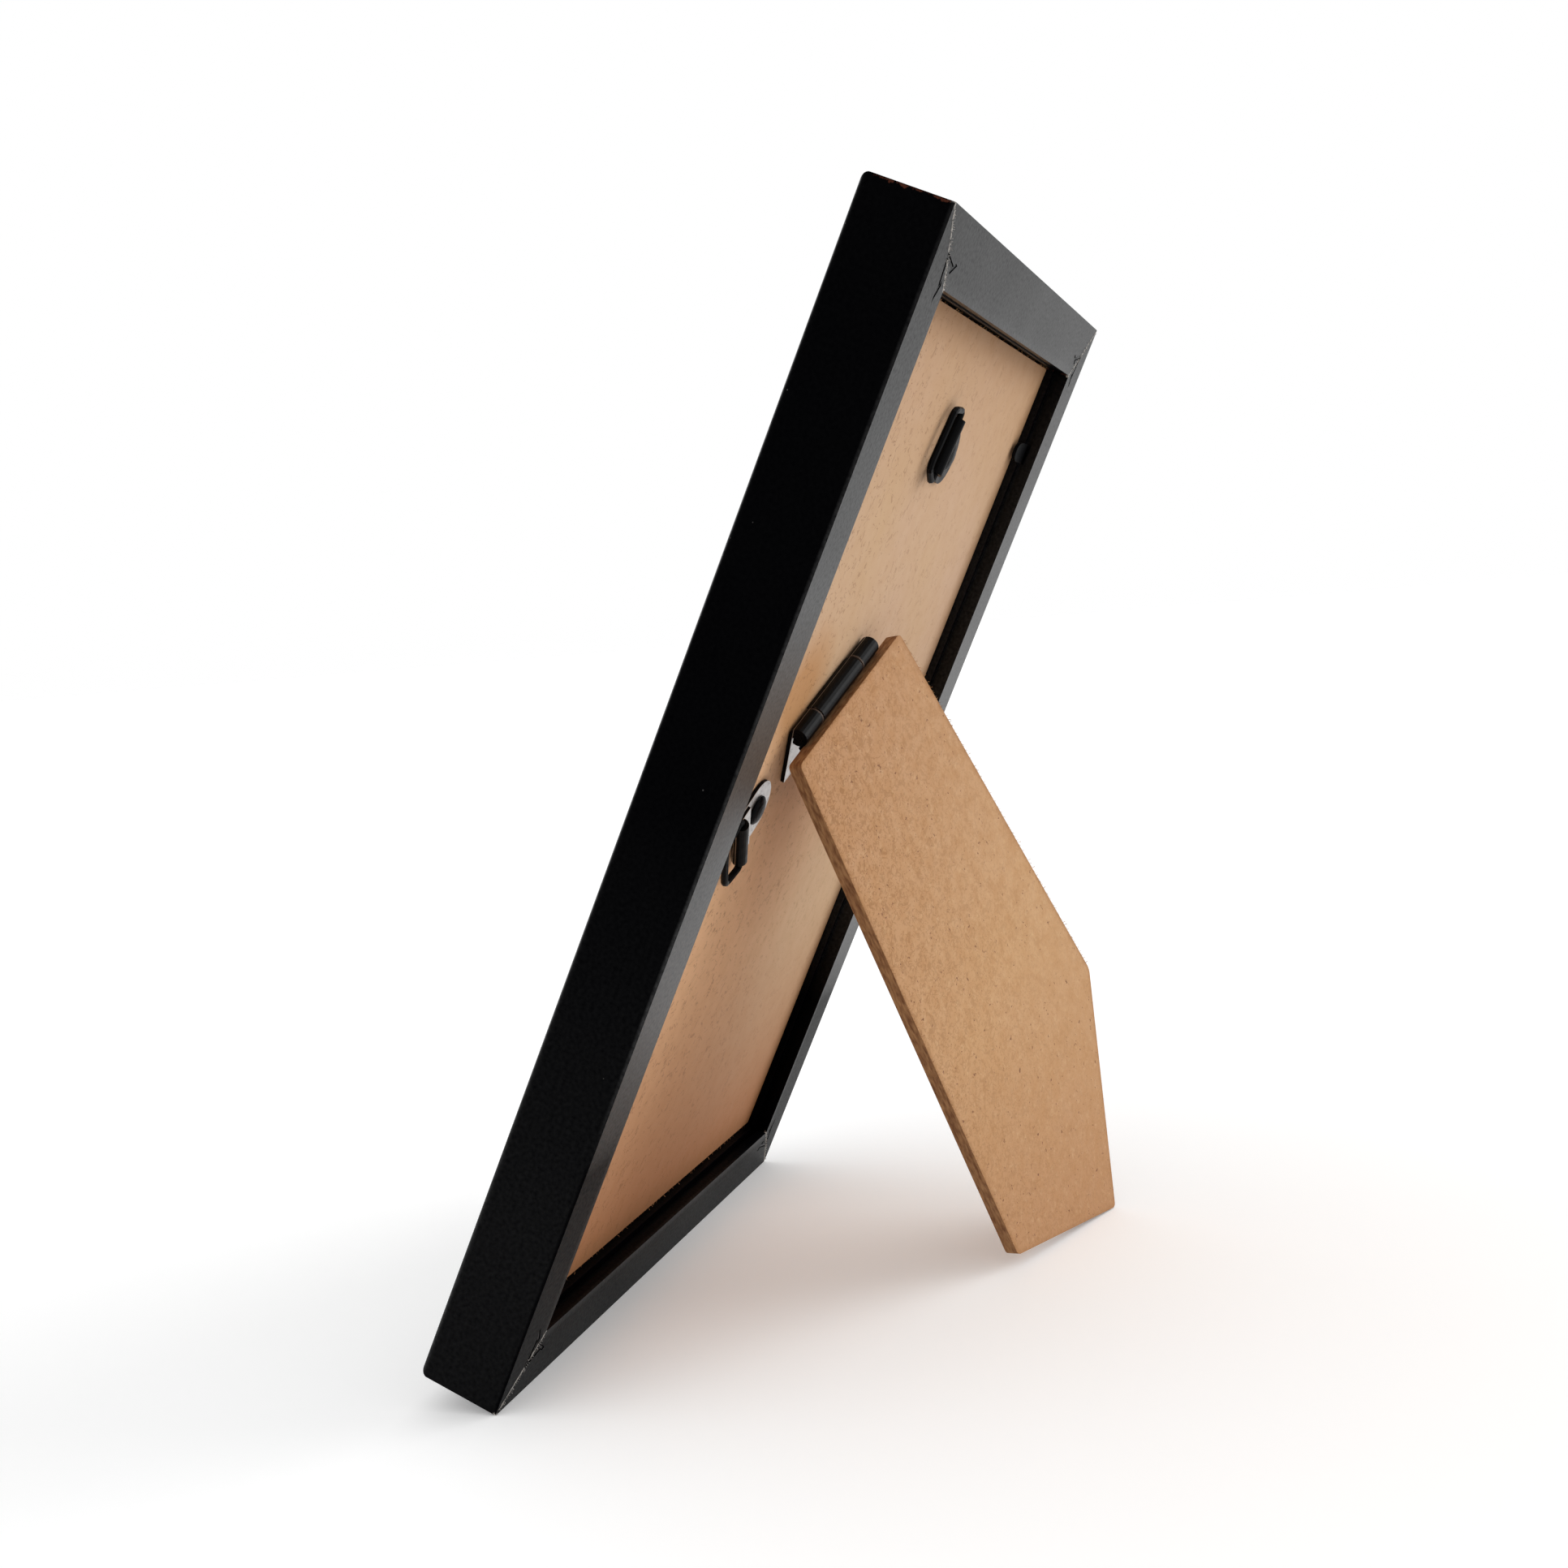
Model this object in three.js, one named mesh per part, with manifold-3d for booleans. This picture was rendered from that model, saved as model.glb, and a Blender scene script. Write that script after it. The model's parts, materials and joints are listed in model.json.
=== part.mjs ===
// A picture frame for a 4 by 6 inch sheet, standing on the easel leg that is hinged to its back.
// Millimetres, +Z up. The front faces -Y and the origin lies on the table under the middle of the box.
//
// The frame is drawn upright in a group of its own, with the rails' back faces on y = 0, the bottom
// edge on z = 0 and +y out of the back. That group then leans back until the leg's foot meets the table.
import * as THREE from 'three';
import { mergeVertices } from 'three/addons/utils/BufferGeometryUtils.js';
import Module from 'manifold-3d';

const wasm = await Module();
wasm.setup();

// Sheets, from the front: glass, insert and back board
const INSERT_W = 101.6;
const INSERT_H = 152.4;
const INSERT_T = 0.3;
const GLASS_T = 2;
const BOARD_T = 2.2;
const LAYER_GAP = 0.2;
const INSERT_PLAY = 0.8;
const GLASS_PLAY = 0.5;
const BOARD_PLAY = 0.4;

// Rails: the back face, the front lip and the groove along the inner wall
const RAIL_W = 9.6;
const LIP_T = 3.45;
const LIP_OVERLAP = 5;
const RECESS = 4.1;
const FRONT_ROUND = 1.2;
const SIGHT_ROUND = 0.8;
const GROOVE_DROP = 1.55;
const GROOVE_W = 1.3;
const GROOVE_DEPTH = 1.8;
const MITRE_GAP = 0.2;

// Corner nails: two blades in a V about the mitre, each with a slanting cross-piece at its end
const NAIL_SETBACK = 5.7;
const NAIL_BLADE = 4.8;
const NAIL_END = 2.4;
const NAIL_TURN = THREE.MathUtils.degToRad(13);
const NAIL_T = 0.36;
const NAIL_DEPTH = 7;
const NAIL_SINK = 0.1;
const NAIL_GAP = 0.14;

// Retaining tabs in the groove of the long rails
const TAB_W = 3.6;
const TAB_T = 0.6;
const TAB_REACH = 4.2;
const TAB_BEND = 0.8;
const TAB_DROP = 0.9;
const TAB_GAP = 0.2;
const TAB_BELOW_TOP = 25.2;
const TAB_BELOW_MIDDLE = 11.6;

// Hinge: a rolled barrel turned in the plane of the board
const SEAT = 0.15;
const HINGE_FROM_SIDE = 33.5;
const HINGE_ABOVE_MIDDLE = 19.4;
const HINGE_TILT = THREE.MathUtils.degToRad(33.2);
const HINGE_W = 25.4;
const LEAF_L = 9.6;
const LEAF_T = 0.6;
const BARREL_R = 1.5;
const KNUCKLE_END = 5.6;
const KNUCKLE_GAP = 0.3;
const PIN_R = 0.6;
const PIN_GAP = 0.08;
const ROLL_SLIT = 0.2;
const PRONG_W = 1.8;
const PRONG_T = 0.5;
const PRONG_L = 1.4;
const PRONG_GAP = 0.15;
const PRONGS = [[-8.6, -4.6], [0, -7.2], [8.6, -4.6]];

// Leg: its two foot edges lie along the frame's bottom and side when it is folded flat
const LEG_OPEN = THREE.MathUtils.degToRad(36);
const LEG_T = 2.2;
const LEG_TOP_W = 35.6;
const LEG_TOP_SHIFT = -0.2;
const FOLDED_SIDE_GAP = 4.2;
const FOLDED_BOTTOM_GAP = 4.2;
const FOOT_UPRIGHT = 34.3;
const FOOT_SIDEWAYS = 42;
const LEG_ROUND = 0.9;
const SWING_GAP = 0.15;

// Hangers: a strap that turns on a domed rivet and is folded over a wire ring, so that its end is double
const STRAP_R = 4.6;
const STRAP_T = 0.5;
const FLAP_START = 2.9;
const EYE_REACH = 6.2;
const EYE_W = 9;
const WIRE_R = 0.55;
const EYE_GAP = 0.1;
const RING_BACK = 13;
const RING_FRONT = 10.5;
const RING_DEPTH = 4.6;
const RING_BACK_ROUND = 1;
const RING_FRONT_ROUND = 1.2;
const RING_BUTT = 0.3;
const RIVET_HEAD_R = 2.3;
const RIVET_HEAD_H = 0.8;
const RIVET_R = 1.1;
const RIVET_GAP = 0.1;
const RIVET_TAIL_R = 1.8;
const RIVET_TAIL_H = 0.5;
const TOP_HANGER_BELOW_TOP = 29.4;
const TOP_HANGER_TURN = THREE.MathUtils.degToRad(-12);
const SIDE_HANGER_FROM_SIDE = 19;
const SIDE_HANGER_ABOVE_MIDDLE = 1.1;
const SIDE_HANGER_TURN = THREE.MathUtils.degToRad(44);
const SIDE_RING_SLIP = -0.3;

// Sizes that follow from those above
const OPENING_W = INSERT_W + 2 * INSERT_PLAY;
const OPENING_H = INSERT_H + 2 * INSERT_PLAY;
const FRAME_W = OPENING_W + 2 * RAIL_W;
const FRAME_H = OPENING_H + 2 * RAIL_W;
const MIDDLE = FRAME_H / 2;
const BOARD_FRONT = RECESS + BOARD_T;
const INSERT_BACK = BOARD_FRONT + LAYER_GAP;
const GLASS_BACK = INSERT_BACK + INSERT_T + LAYER_GAP;
const LIP_BACK = GLASS_BACK + GLASS_T + LAYER_GAP;
const RAIL_D = LIP_BACK + LIP_T;
const HINGE_X = OPENING_W / 2 - HINGE_FROM_SIDE;
const HINGE_Z = MIDDLE + HINGE_ABOVE_MIDDLE;
const AXIS_RISE = SEAT + BARREL_R;
const KNUCKLE_MID = HINGE_W - 2 * (KNUCKLE_END + KNUCKLE_GAP);
const BORE_R = PIN_R + PIN_GAP;
const LEG_LEAF = 2 * LEAF_T + SEAT - BARREL_R;
const LEG_INNER = LEG_LEAF + SEAT;
const LEG_TOP = -(BARREL_R + SWING_GAP);
const STOP_L = (BARREL_R - (LEAF_T - LEG_LEAF) * Math.cos(LEG_OPEN)) / Math.sin(LEG_OPEN);
const EYE_R = WIRE_R + EYE_GAP + STRAP_T;
const EYE_RISE = SEAT + EYE_R;

// Finishes
const finish = (color, roughness, metalness) =>
  new THREE.MeshStandardMaterial({ color, roughness, metalness });
const BLACK_FOIL = finish('#141416', 0.42, 0);
const HARDBOARD = finish('#c2a07a', 0.78, 0);
const LEG_BOARD = finish('#c49a6c', 0.75, 0);
const BLACK_STEEL = finish('#1b1b1d', 0.34, 0.6);
const BARE_STEEL = finish('#7d7a76', 0.45, 1);
const PAPER = finish('#efece4', 0.9, 0);
const GLASS = finish('#dfe8e6', 0.05, 0);

const { Group, Mesh, Shape, Vector2, Vector3 } = THREE;

// A mesh with a name and a material of its own
function piece(name, geometry, material) {
  const mesh = new Mesh(geometry, material.clone());
  mesh.name = name;
  return mesh;
}

// A closed geometry as a solid that can be joined and cut
function solid(geometry) {
  const bare = geometry.clone();
  bare.deleteAttribute('normal');
  bare.deleteAttribute('uv');
  const merged = mergeVertices(bare);
  const corners = merged.index.array;
  const triangles = [];
  for (let i = 0; i < corners.length; i += 3) {
    const [a, b, c] = corners.slice(i, i + 3);
    if (a !== b && b !== c && c !== a) triangles.push(a, b, c);
  }
  return new wasm.Manifold(new wasm.Mesh({
    numProp: 3,
    vertProperties: new Float32Array(merged.attributes.position.array),
    triVerts: new Uint32Array(triangles),
  }));
}

// A solid back as a geometry
function surface(body) {
  const { vertProperties, triVerts } = body.getMesh();
  const geometry = new THREE.BufferGeometry();
  geometry.setAttribute('position', new THREE.BufferAttribute(vertProperties, 3));
  geometry.setIndex(new THREE.BufferAttribute(triVerts, 1));
  geometry.computeVertexNormals();
  return geometry;
}

// A first geometry joined with some and then cut by others
function joinAndCut(first, joins, cuts) {
  let body = solid(first);
  for (const geometry of joins) body = body.add(solid(geometry));
  for (const geometry of cuts) body = body.subtract(solid(geometry));
  return surface(body);
}

// A block between two opposite corners
function block([x0, y0, z0], [x1, y1, z1]) {
  return new THREE.BoxGeometry(x1 - x0, y1 - y0, z1 - z0)
    .translate((x0 + x1) / 2, (y0 + y1) / 2, (z0 + z1) / 2);
}

// A round bar along x, centred at a distance along it
function barX(radius, length, x = 0) {
  return new THREE.CylinderGeometry(radius, radius, length, 20).rotateZ(Math.PI / 2).translate(x, 0, 0);
}

// A plan drawn in x and z, made into a plate whose back is at y
function plate(plan, y, thickness) {
  return new THREE.ExtrudeGeometry(plan, { depth: thickness, bevelEnabled: false, curveSegments: 6 })
    .rotateX(Math.PI / 2)
    .translate(0, y, 0);
}

// A polygon with every corner rounded
function roundedPlan(points, radius) {
  const plan = new Shape();
  points.forEach((point, i) => {
    const before = points.at(i - 1);
    const after = points[(i + 1) % points.length];
    const start = point.clone().add(before.clone().sub(point).setLength(radius));
    const end = point.clone().add(after.clone().sub(point).setLength(radius));
    if (i === 0) plan.moveTo(start.x, start.y);
    else plan.lineTo(start.x, start.y);
    plan.quadraticCurveTo(point.x, point.y, end.x, end.y);
  });
  plan.closePath();
  return plan;
}

// Rail section: x runs inwards from the outer face, y is the frame's own
function railSection() {
  const section = new Shape();
  section.moveTo(0, 0);
  section.lineTo(0, FRONT_ROUND - RAIL_D);
  section.absarc(FRONT_ROUND, FRONT_ROUND - RAIL_D, FRONT_ROUND, Math.PI, 1.5 * Math.PI, false);
  section.lineTo(RAIL_W + LIP_OVERLAP - SIGHT_ROUND, -RAIL_D);
  section.absarc(
    RAIL_W + LIP_OVERLAP - SIGHT_ROUND, SIGHT_ROUND - RAIL_D, SIGHT_ROUND, 1.5 * Math.PI, 2 * Math.PI, false,
  );
  section.lineTo(RAIL_W + LIP_OVERLAP, -LIP_BACK);
  section.lineTo(RAIL_W, -LIP_BACK);
  section.lineTo(RAIL_W, -GROOVE_DROP - GROOVE_W);
  section.lineTo(RAIL_W - GROOVE_DEPTH, -GROOVE_DROP - GROOVE_W);
  section.lineTo(RAIL_W - GROOVE_DEPTH, -GROOVE_DROP);
  section.lineTo(RAIL_W, -GROOVE_DROP);
  section.lineTo(RAIL_W, 0);
  return section.extractPoints(5).shape;
}

// A rail along x, mitred at both ends, with its outer face on z = 0 and the opening towards -z
function mitredBar(length) {
  const section = railSection();
  const reach = length / 2 - MITRE_GAP * Math.SQRT1_2;
  const count = section.length;
  const positions = [];
  for (const end of [-1, 1]) {
    for (const { x, y } of section) positions.push(end * (reach - x), y, -x);
  }
  const faces = [];
  for (const [a, b, c] of THREE.ShapeUtils.triangulateShape(section, [])) {
    faces.push(c, b, a);
    faces.push(a + count, b + count, c + count);
  }
  for (let a = 0; a < count; a += 1) {
    const b = (a + 1) % count;
    faces.push(a, b, b + count);
    faces.push(a, b + count, a + count);
  }
  const bar = new THREE.BufferGeometry();
  bar.setAttribute('position', new THREE.Float32BufferAttribute(positions, 3));
  bar.setIndex(faces);
  return bar;
}

// Corner nail, or with a margin the slot for it, drawn from the frame's outer corner at the origin
function cornerNail(margin) {
  const half = NAIL_T / 2 + margin;
  const end = (NAIL_END / 2 + margin) * Math.SQRT1_2;
  const tip = NAIL_BLADE + margin * Math.SQRT2;
  const neck = NAIL_BLADE - (NAIL_T + margin) * Math.SQRT2;
  const blade = [
    [-half, -half], [neck + half, -half], [neck + end, -end], [tip + end, -end],
    [tip - end, end], [neck - end, end], [neck - half, half], [-half, half],
  ].map(([p, q]) => new Vector2(p, q).rotateAround(new Vector2(), NAIL_TURN));
  const top = margin > 0 ? NAIL_SINK : -NAIL_SINK;
  const wing = (points) => plate(new Shape(points), top, top + NAIL_SINK + NAIL_DEPTH + margin);
  const one = wing(blade.map(({ x, y }) => new Vector2(-NAIL_SETBACK - x, -NAIL_SETBACK - y)));
  const other = wing(blade.map(({ x, y }) => new Vector2(-NAIL_SETBACK - y, -NAIL_SETBACK - x)));
  return joinAndCut(one, [other], []);
}

function rail(length) {
  const slots = [0, Math.PI / 2].map((turn, i) =>
    cornerNail(NAIL_GAP).rotateY(-turn).translate((i ? -1 : 1) * length / 2, 0, 0));
  return joinAndCut(mitredBar(length), [], slots);
}

// Tab: it leaves the groove level, then bends down towards the board, with a rounded free end
function retainingTab() {
  const root = TAB_GAP - GROOVE_DEPTH;
  const low = TAB_GAP - GROOVE_DROP - GROOVE_W;
  const side = new Shape([
    new Vector2(root, low),
    new Vector2(TAB_BEND, low),
    new Vector2(TAB_REACH, low - TAB_DROP),
    new Vector2(TAB_REACH, low - TAB_DROP + TAB_T),
    new Vector2(TAB_BEND, low + TAB_T),
    new Vector2(root, low + TAB_T),
  ]);
  const strip = new THREE.ExtrudeGeometry(side, { depth: TAB_W, bevelEnabled: false })
    .translate(0, 0, -TAB_W / 2);
  const blunt = TAB_REACH - TAB_W / 2;
  const plan = new Shape();
  plan.moveTo(root - 1, -TAB_W / 2);
  plan.lineTo(blunt, -TAB_W / 2);
  plan.quadraticCurveTo(TAB_REACH, -TAB_W / 2, TAB_REACH, 0);
  plan.quadraticCurveTo(TAB_REACH, TAB_W / 2, blunt, TAB_W / 2);
  plan.lineTo(root - 1, TAB_W / 2);
  return surface(solid(strip).intersect(solid(plate(plan, 0, RECESS))));
}

// Prongs bent out of a leaf at y, towards the side that sign names, with a margin for their slits
function prongs(y, sign, margin) {
  return PRONGS.map(([x, z]) => block(
    [x - PRONG_W / 2 - margin, Math.min(y, y + sign * (PRONG_L + margin)), z - PRONG_T / 2 - margin],
    [x + PRONG_W / 2 + margin, Math.max(y, y + sign * (PRONG_L + margin)), z + PRONG_T / 2 + margin],
  ));
}

// The windows that the prongs leave in a leaf
function prongWindows() {
  return PRONGS.map(([x, z]) => block(
    [x - PRONG_W / 2, -BARREL_R - 1, z + PRONG_T / 2],
    [x + PRONG_W / 2, BARREL_R, z + PRONG_T / 2 + PRONG_L],
  ));
}

// The slit where a rolled knuckle closes on its own leaf, whose back is at y
function rollSlit(y) {
  return block([-HINGE_W, y, -2 * BARREL_R], [HINGE_W, y + ROLL_SLIT, -BORE_R / 2]);
}

// Leaf on the board: a plate under the barrel, rolled up into the two end knuckles
function boardLeaf() {
  const base = -BARREL_R;
  const span = KNUCKLE_MID / 2 + KNUCKLE_GAP;
  const knuckles = [-1, 1].map((side) => barX(BARREL_R, KNUCKLE_END, side * (HINGE_W - KNUCKLE_END) / 2));
  const leaf = block([-HINGE_W / 2, base, -LEAF_L], [HINGE_W / 2, base + LEAF_T, 0]);
  return joinAndCut(leaf, [...knuckles, ...prongs(base, -1, 0)], [
    block([-span, -2 * BARREL_R, LEG_TOP], [span, 2 * BARREL_R, 2 * BARREL_R]),
    barX(BORE_R, 2 * HINGE_W),
    rollSlit(base + LEAF_T),
    ...prongWindows(),
  ]);
}

// Leaf on the leg: a plate just over the other leaf, rolled into the middle knuckle, whose lip is the stop
function legLeaf() {
  const low = LEG_LEAF - LEAF_T;
  const leaf = block([-HINGE_W / 2, low, -LEAF_L], [HINGE_W / 2, LEG_LEAF, LEG_TOP]);
  const tongue = block([-KNUCKLE_MID / 2, low, LEG_TOP - 1], [KNUCKLE_MID / 2, LEG_LEAF, STOP_L]);
  return joinAndCut(leaf, [tongue, barX(BARREL_R, KNUCKLE_MID), ...prongs(LEG_LEAF, 1, 0)], [
    barX(BORE_R, 2 * HINGE_W),
    rollSlit(LEG_LEAF),
    ...prongWindows(),
  ]);
}

// Leg: the toe is the corner between its two feet, placed by where it lies when the leg is folded
function standLeg() {
  const along = new Vector2(Math.cos(HINGE_TILT), Math.sin(HINGE_TILT));
  const up = new Vector2(-along.y, along.x);
  const toe = new Vector2()
    .addScaledVector(along, FOLDED_SIDE_GAP - OPENING_W / 2 - HINGE_X)
    .addScaledVector(up, RAIL_W + FOLDED_BOTTOM_GAP - HINGE_Z);
  const outline = [
    new Vector2(LEG_TOP_SHIFT - LEG_TOP_W / 2, LEG_TOP),
    toe.clone().addScaledVector(up, FOOT_SIDEWAYS),
    toe,
    toe.clone().addScaledVector(along, FOOT_UPRIGHT),
    new Vector2(LEG_TOP_SHIFT + LEG_TOP_W / 2, LEG_TOP),
  ];
  const leg = plate(roundedPlan(outline, LEG_ROUND), LEG_INNER + LEG_T, LEG_T);
  return joinAndCut(leg, [], prongs(LEG_LEAF, 1, PRONG_GAP));
}

// Strap: a plate with one round end, rolled at the other into the eye and folded back on itself
function hangerStrap() {
  const back = SEAT + STRAP_T;
  const plan = new Shape();
  plan.absarc(0, 0, STRAP_R, Math.PI / 2, 1.5 * Math.PI, false);
  plan.lineTo(EYE_REACH, -STRAP_R);
  plan.lineTo(EYE_REACH, STRAP_R);
  plan.closePath();
  const flap = block([FLAP_START, back, -EYE_W / 2], [EYE_REACH, back + STRAP_T, EYE_W / 2]);
  const eye = new THREE.CylinderGeometry(EYE_R, EYE_R, EYE_W, 20);
  const bore = new THREE.CylinderGeometry(WIRE_R + EYE_GAP, WIRE_R + EYE_GAP, 2 * EYE_W, 20);
  for (const geometry of [eye, bore]) geometry.rotateX(Math.PI / 2).translate(EYE_REACH, EYE_RISE, 0);
  const hole = new THREE.CylinderGeometry(RIVET_R + RIVET_GAP, RIVET_R + RIVET_GAP, 4 * STRAP_T, 24);
  return joinAndCut(plate(plan, back, STRAP_T), [flap, eye], [bore, hole]);
}

// Ring: a wire bent into a slim loop, its ends butted on the side that lies in the eye
function hangerRing() {
  const far = RING_BACK / 2 - WIRE_R;
  const near = RING_FRONT / 2 - WIRE_R;
  const corners = [
    [new Vector3(0, 0, far), RING_BACK_ROUND],
    [new Vector3(RING_DEPTH, 0, near), RING_FRONT_ROUND],
    [new Vector3(RING_DEPTH, 0, -near), RING_FRONT_ROUND],
    [new Vector3(0, 0, -far), RING_BACK_ROUND],
  ];
  const last = new Vector3(0, 0, -RING_BUTT / 2);
  const path = new THREE.CurvePath();
  let at = new Vector3(0, 0, RING_BUTT / 2);
  corners.forEach(([corner, radius], i) => {
    const next = i + 1 < corners.length ? corners[i + 1][0] : last;
    const start = corner.clone().add(at.clone().sub(corner).setLength(radius));
    const end = corner.clone().add(next.clone().sub(corner).setLength(radius));
    path.add(new THREE.LineCurve3(at, start));
    path.add(new THREE.QuadraticBezierCurve3(start, corner, end));
    at = end;
  });
  path.add(new THREE.LineCurve3(at, last));
  const section = new Shape().absarc(0, 0, WIRE_R, 0, 2 * Math.PI, false);
  return new THREE.ExtrudeGeometry(section, {
    steps: 48, extrudePath: path, bevelEnabled: false, curveSegments: 4,
  });
}

// Rivet: a domed head over the strap, a shank through the board and a tail set into its front
function hangerRivet() {
  const head = 2 * SEAT + STRAP_T;
  const points = [
    new Vector2(0, SEAT - BOARD_T),
    new Vector2(RIVET_TAIL_R, SEAT - BOARD_T),
    new Vector2(RIVET_TAIL_R, SEAT - BOARD_T + RIVET_TAIL_H),
    new Vector2(RIVET_R, SEAT - BOARD_T + RIVET_TAIL_H),
    new Vector2(RIVET_R, head),
  ];
  for (let i = 0; i <= 5; i += 1) {
    const angle = (i / 5) * Math.PI / 2;
    points.push(new Vector2(RIVET_HEAD_R * Math.cos(angle), head + RIVET_HEAD_H * Math.sin(angle)));
  }
  points[points.length - 1].x = 0;
  return surface(solid(new THREE.LatheGeometry(points, 24)));
}

// The hole for a rivet through the board, drawn from the board's back at y = 0
function rivetHole() {
  const shank = new THREE.CylinderGeometry(RIVET_R + RIVET_GAP, RIVET_R + RIVET_GAP, 4 * BOARD_T, 24);
  const depth = RIVET_TAIL_H + 2 * SEAT;
  const pocket = new THREE.CylinderGeometry(RIVET_TAIL_R + SEAT, RIVET_TAIL_R + SEAT, 2 * depth, 24)
    .translate(0, -BOARD_T, 0);
  return [shank, pocket];
}

// A group placed in the upright frame at x, y and z and turned about y
function placed(parent, x, y, z, turn = 0) {
  const group = new Group();
  group.position.set(x, y, z);
  group.rotation.y = turn;
  parent.add(group);
  group.updateMatrix();
  return group;
}

const upright = new Group();

// Rails, and a nail in each corner
const quarter = Math.PI / 2;
placed(upright, 0, 0, FRAME_H).add(piece('rail_top', rail(FRAME_W), BLACK_FOIL));
placed(upright, 0, 0, 0, 2 * quarter).add(piece('rail_bottom', rail(FRAME_W), BLACK_FOIL));
placed(upright, FRAME_W / 2, 0, MIDDLE, quarter).add(piece('rail_left', rail(FRAME_H), BLACK_FOIL));
placed(upright, -FRAME_W / 2, 0, MIDDLE, -quarter).add(piece('rail_right', rail(FRAME_H), BLACK_FOIL));
[[1, 1], [1, 0], [-1, 0], [-1, 1]].forEach(([side, top], i) => {
  placed(upright, side * FRAME_W / 2, 0, top * FRAME_H, i * quarter)
    .add(piece(`v_nail_${i + 1}`, cornerNail(0), BARE_STEEL));
});

// Tabs
[MIDDLE - TAB_BELOW_MIDDLE, FRAME_H - TAB_BELOW_TOP].forEach((height, i) => {
  [-1, 1].forEach((side, j) => {
    placed(upright, side * OPENING_W / 2, 0, height, j * 2 * quarter)
      .add(piece(`retaining_tab_${2 * i + j + 1}`, retainingTab(), BARE_STEEL));
  });
});

// Glass and insert
function sheet(width, height, back, thickness) {
  return block(
    [-width / 2, -back - thickness, MIDDLE - height / 2],
    [width / 2, -back, MIDDLE + height / 2],
  );
}
const glassW = OPENING_W - 2 * GLASS_PLAY;
const glassH = OPENING_H - 2 * GLASS_PLAY;
upright.add(piece('glass_pane', sheet(glassW, glassH, GLASS_BACK, GLASS_T), GLASS));
upright.add(piece('insert_sheet', sheet(INSERT_W, INSERT_H, INSERT_BACK, INSERT_T), PAPER));

// Hinge and leg
const hinge = placed(upright, HINGE_X, AXIS_RISE - RECESS, HINGE_Z, HINGE_TILT);
hinge.add(piece('hinge_board_leaf', boardLeaf(), BLACK_STEEL));
hinge.add(piece('hinge_pin', barX(PIN_R, HINGE_W), BLACK_STEEL));
const leg = new Group();
leg.rotation.x = LEG_OPEN;
leg.add(piece('hinge_leg_leaf', legLeaf(), BLACK_STEEL));
leg.add(piece('stand_leg', standLeg(), LEG_BOARD));
hinge.add(leg);

// Hangers
const hangers = [
  ['hanger_top', 0, FRAME_H - TOP_HANGER_BELOW_TOP, TOP_HANGER_TURN, 0],
  [
    'hanger_side', OPENING_W / 2 - SIDE_HANGER_FROM_SIDE, MIDDLE + SIDE_HANGER_ABOVE_MIDDLE,
    SIDE_HANGER_TURN, SIDE_RING_SLIP,
  ],
];
const rivetHoles = [];
for (const [name, x, z, turn, slip] of hangers) {
  const hanger = placed(upright, x, -RECESS, z, turn);
  hanger.add(piece(`${name}_rivet`, hangerRivet(), BLACK_STEEL));
  hanger.add(piece(`${name}_strap`, hangerStrap(), BLACK_STEEL));
  const ring = piece(`${name}_ring`, hangerRing(), BLACK_STEEL);
  ring.position.set(EYE_REACH, EYE_RISE, slip);
  hanger.add(ring);
  rivetHoles.push(...rivetHole().map((hole) => hole.applyMatrix4(hanger.matrix)));
}

// Board, with the slits for the hinge's prongs and the holes for the rivets
const boardW = OPENING_W - 2 * BOARD_PLAY;
const boardH = OPENING_H - 2 * BOARD_PLAY;
const slits = prongs(-BARREL_R, -1, PRONG_GAP).map((slit) => slit.applyMatrix4(hinge.matrix));
const board = joinAndCut(sheet(boardW, boardH, RECESS, BOARD_T), [], [...slits, ...rivetHoles]);
upright.add(piece('back_board', board, HARDBOARD));

// The lean: the back edge of the bottom rail stays on the table and the foot comes down to it
function leanOnFoot() {
  upright.updateMatrixWorld(true);
  const foot = leg.getObjectByName('stand_leg');
  const corners = foot.geometry.attributes.position;
  const point = new Vector3();
  let lean = quarter;
  for (let i = 0; i < corners.count; i += 1) {
    point.fromBufferAttribute(corners, i).applyMatrix4(foot.matrixWorld);
    if (point.y > RAIL_D) lean = Math.min(lean, Math.atan2(point.z, point.y));
  }
  return lean;
}
upright.rotation.x = -leanOnFoot();

const pictureFrame = new Group();
pictureFrame.add(upright);
const box = new THREE.Box3().setFromObject(pictureFrame, true);
upright.position.set(0, -(box.min.y + box.max.y) / 2, -box.min.z);

export default pictureFrame;
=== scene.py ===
import json
import math

import bpy
from mathutils import Matrix, Vector


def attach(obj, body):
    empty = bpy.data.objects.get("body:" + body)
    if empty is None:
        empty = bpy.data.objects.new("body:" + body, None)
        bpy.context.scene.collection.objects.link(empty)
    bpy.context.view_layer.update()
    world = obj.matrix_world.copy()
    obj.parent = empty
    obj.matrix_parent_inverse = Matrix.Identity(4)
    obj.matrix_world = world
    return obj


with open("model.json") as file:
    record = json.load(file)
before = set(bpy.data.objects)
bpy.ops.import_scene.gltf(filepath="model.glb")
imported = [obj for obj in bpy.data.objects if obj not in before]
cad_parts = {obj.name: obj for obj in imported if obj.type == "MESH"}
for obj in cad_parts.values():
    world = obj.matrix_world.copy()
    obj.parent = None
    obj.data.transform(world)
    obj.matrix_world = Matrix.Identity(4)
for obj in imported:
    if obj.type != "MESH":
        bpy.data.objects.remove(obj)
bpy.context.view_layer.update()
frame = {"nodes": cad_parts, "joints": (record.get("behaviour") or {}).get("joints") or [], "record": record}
nodes = frame["nodes"]

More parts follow.
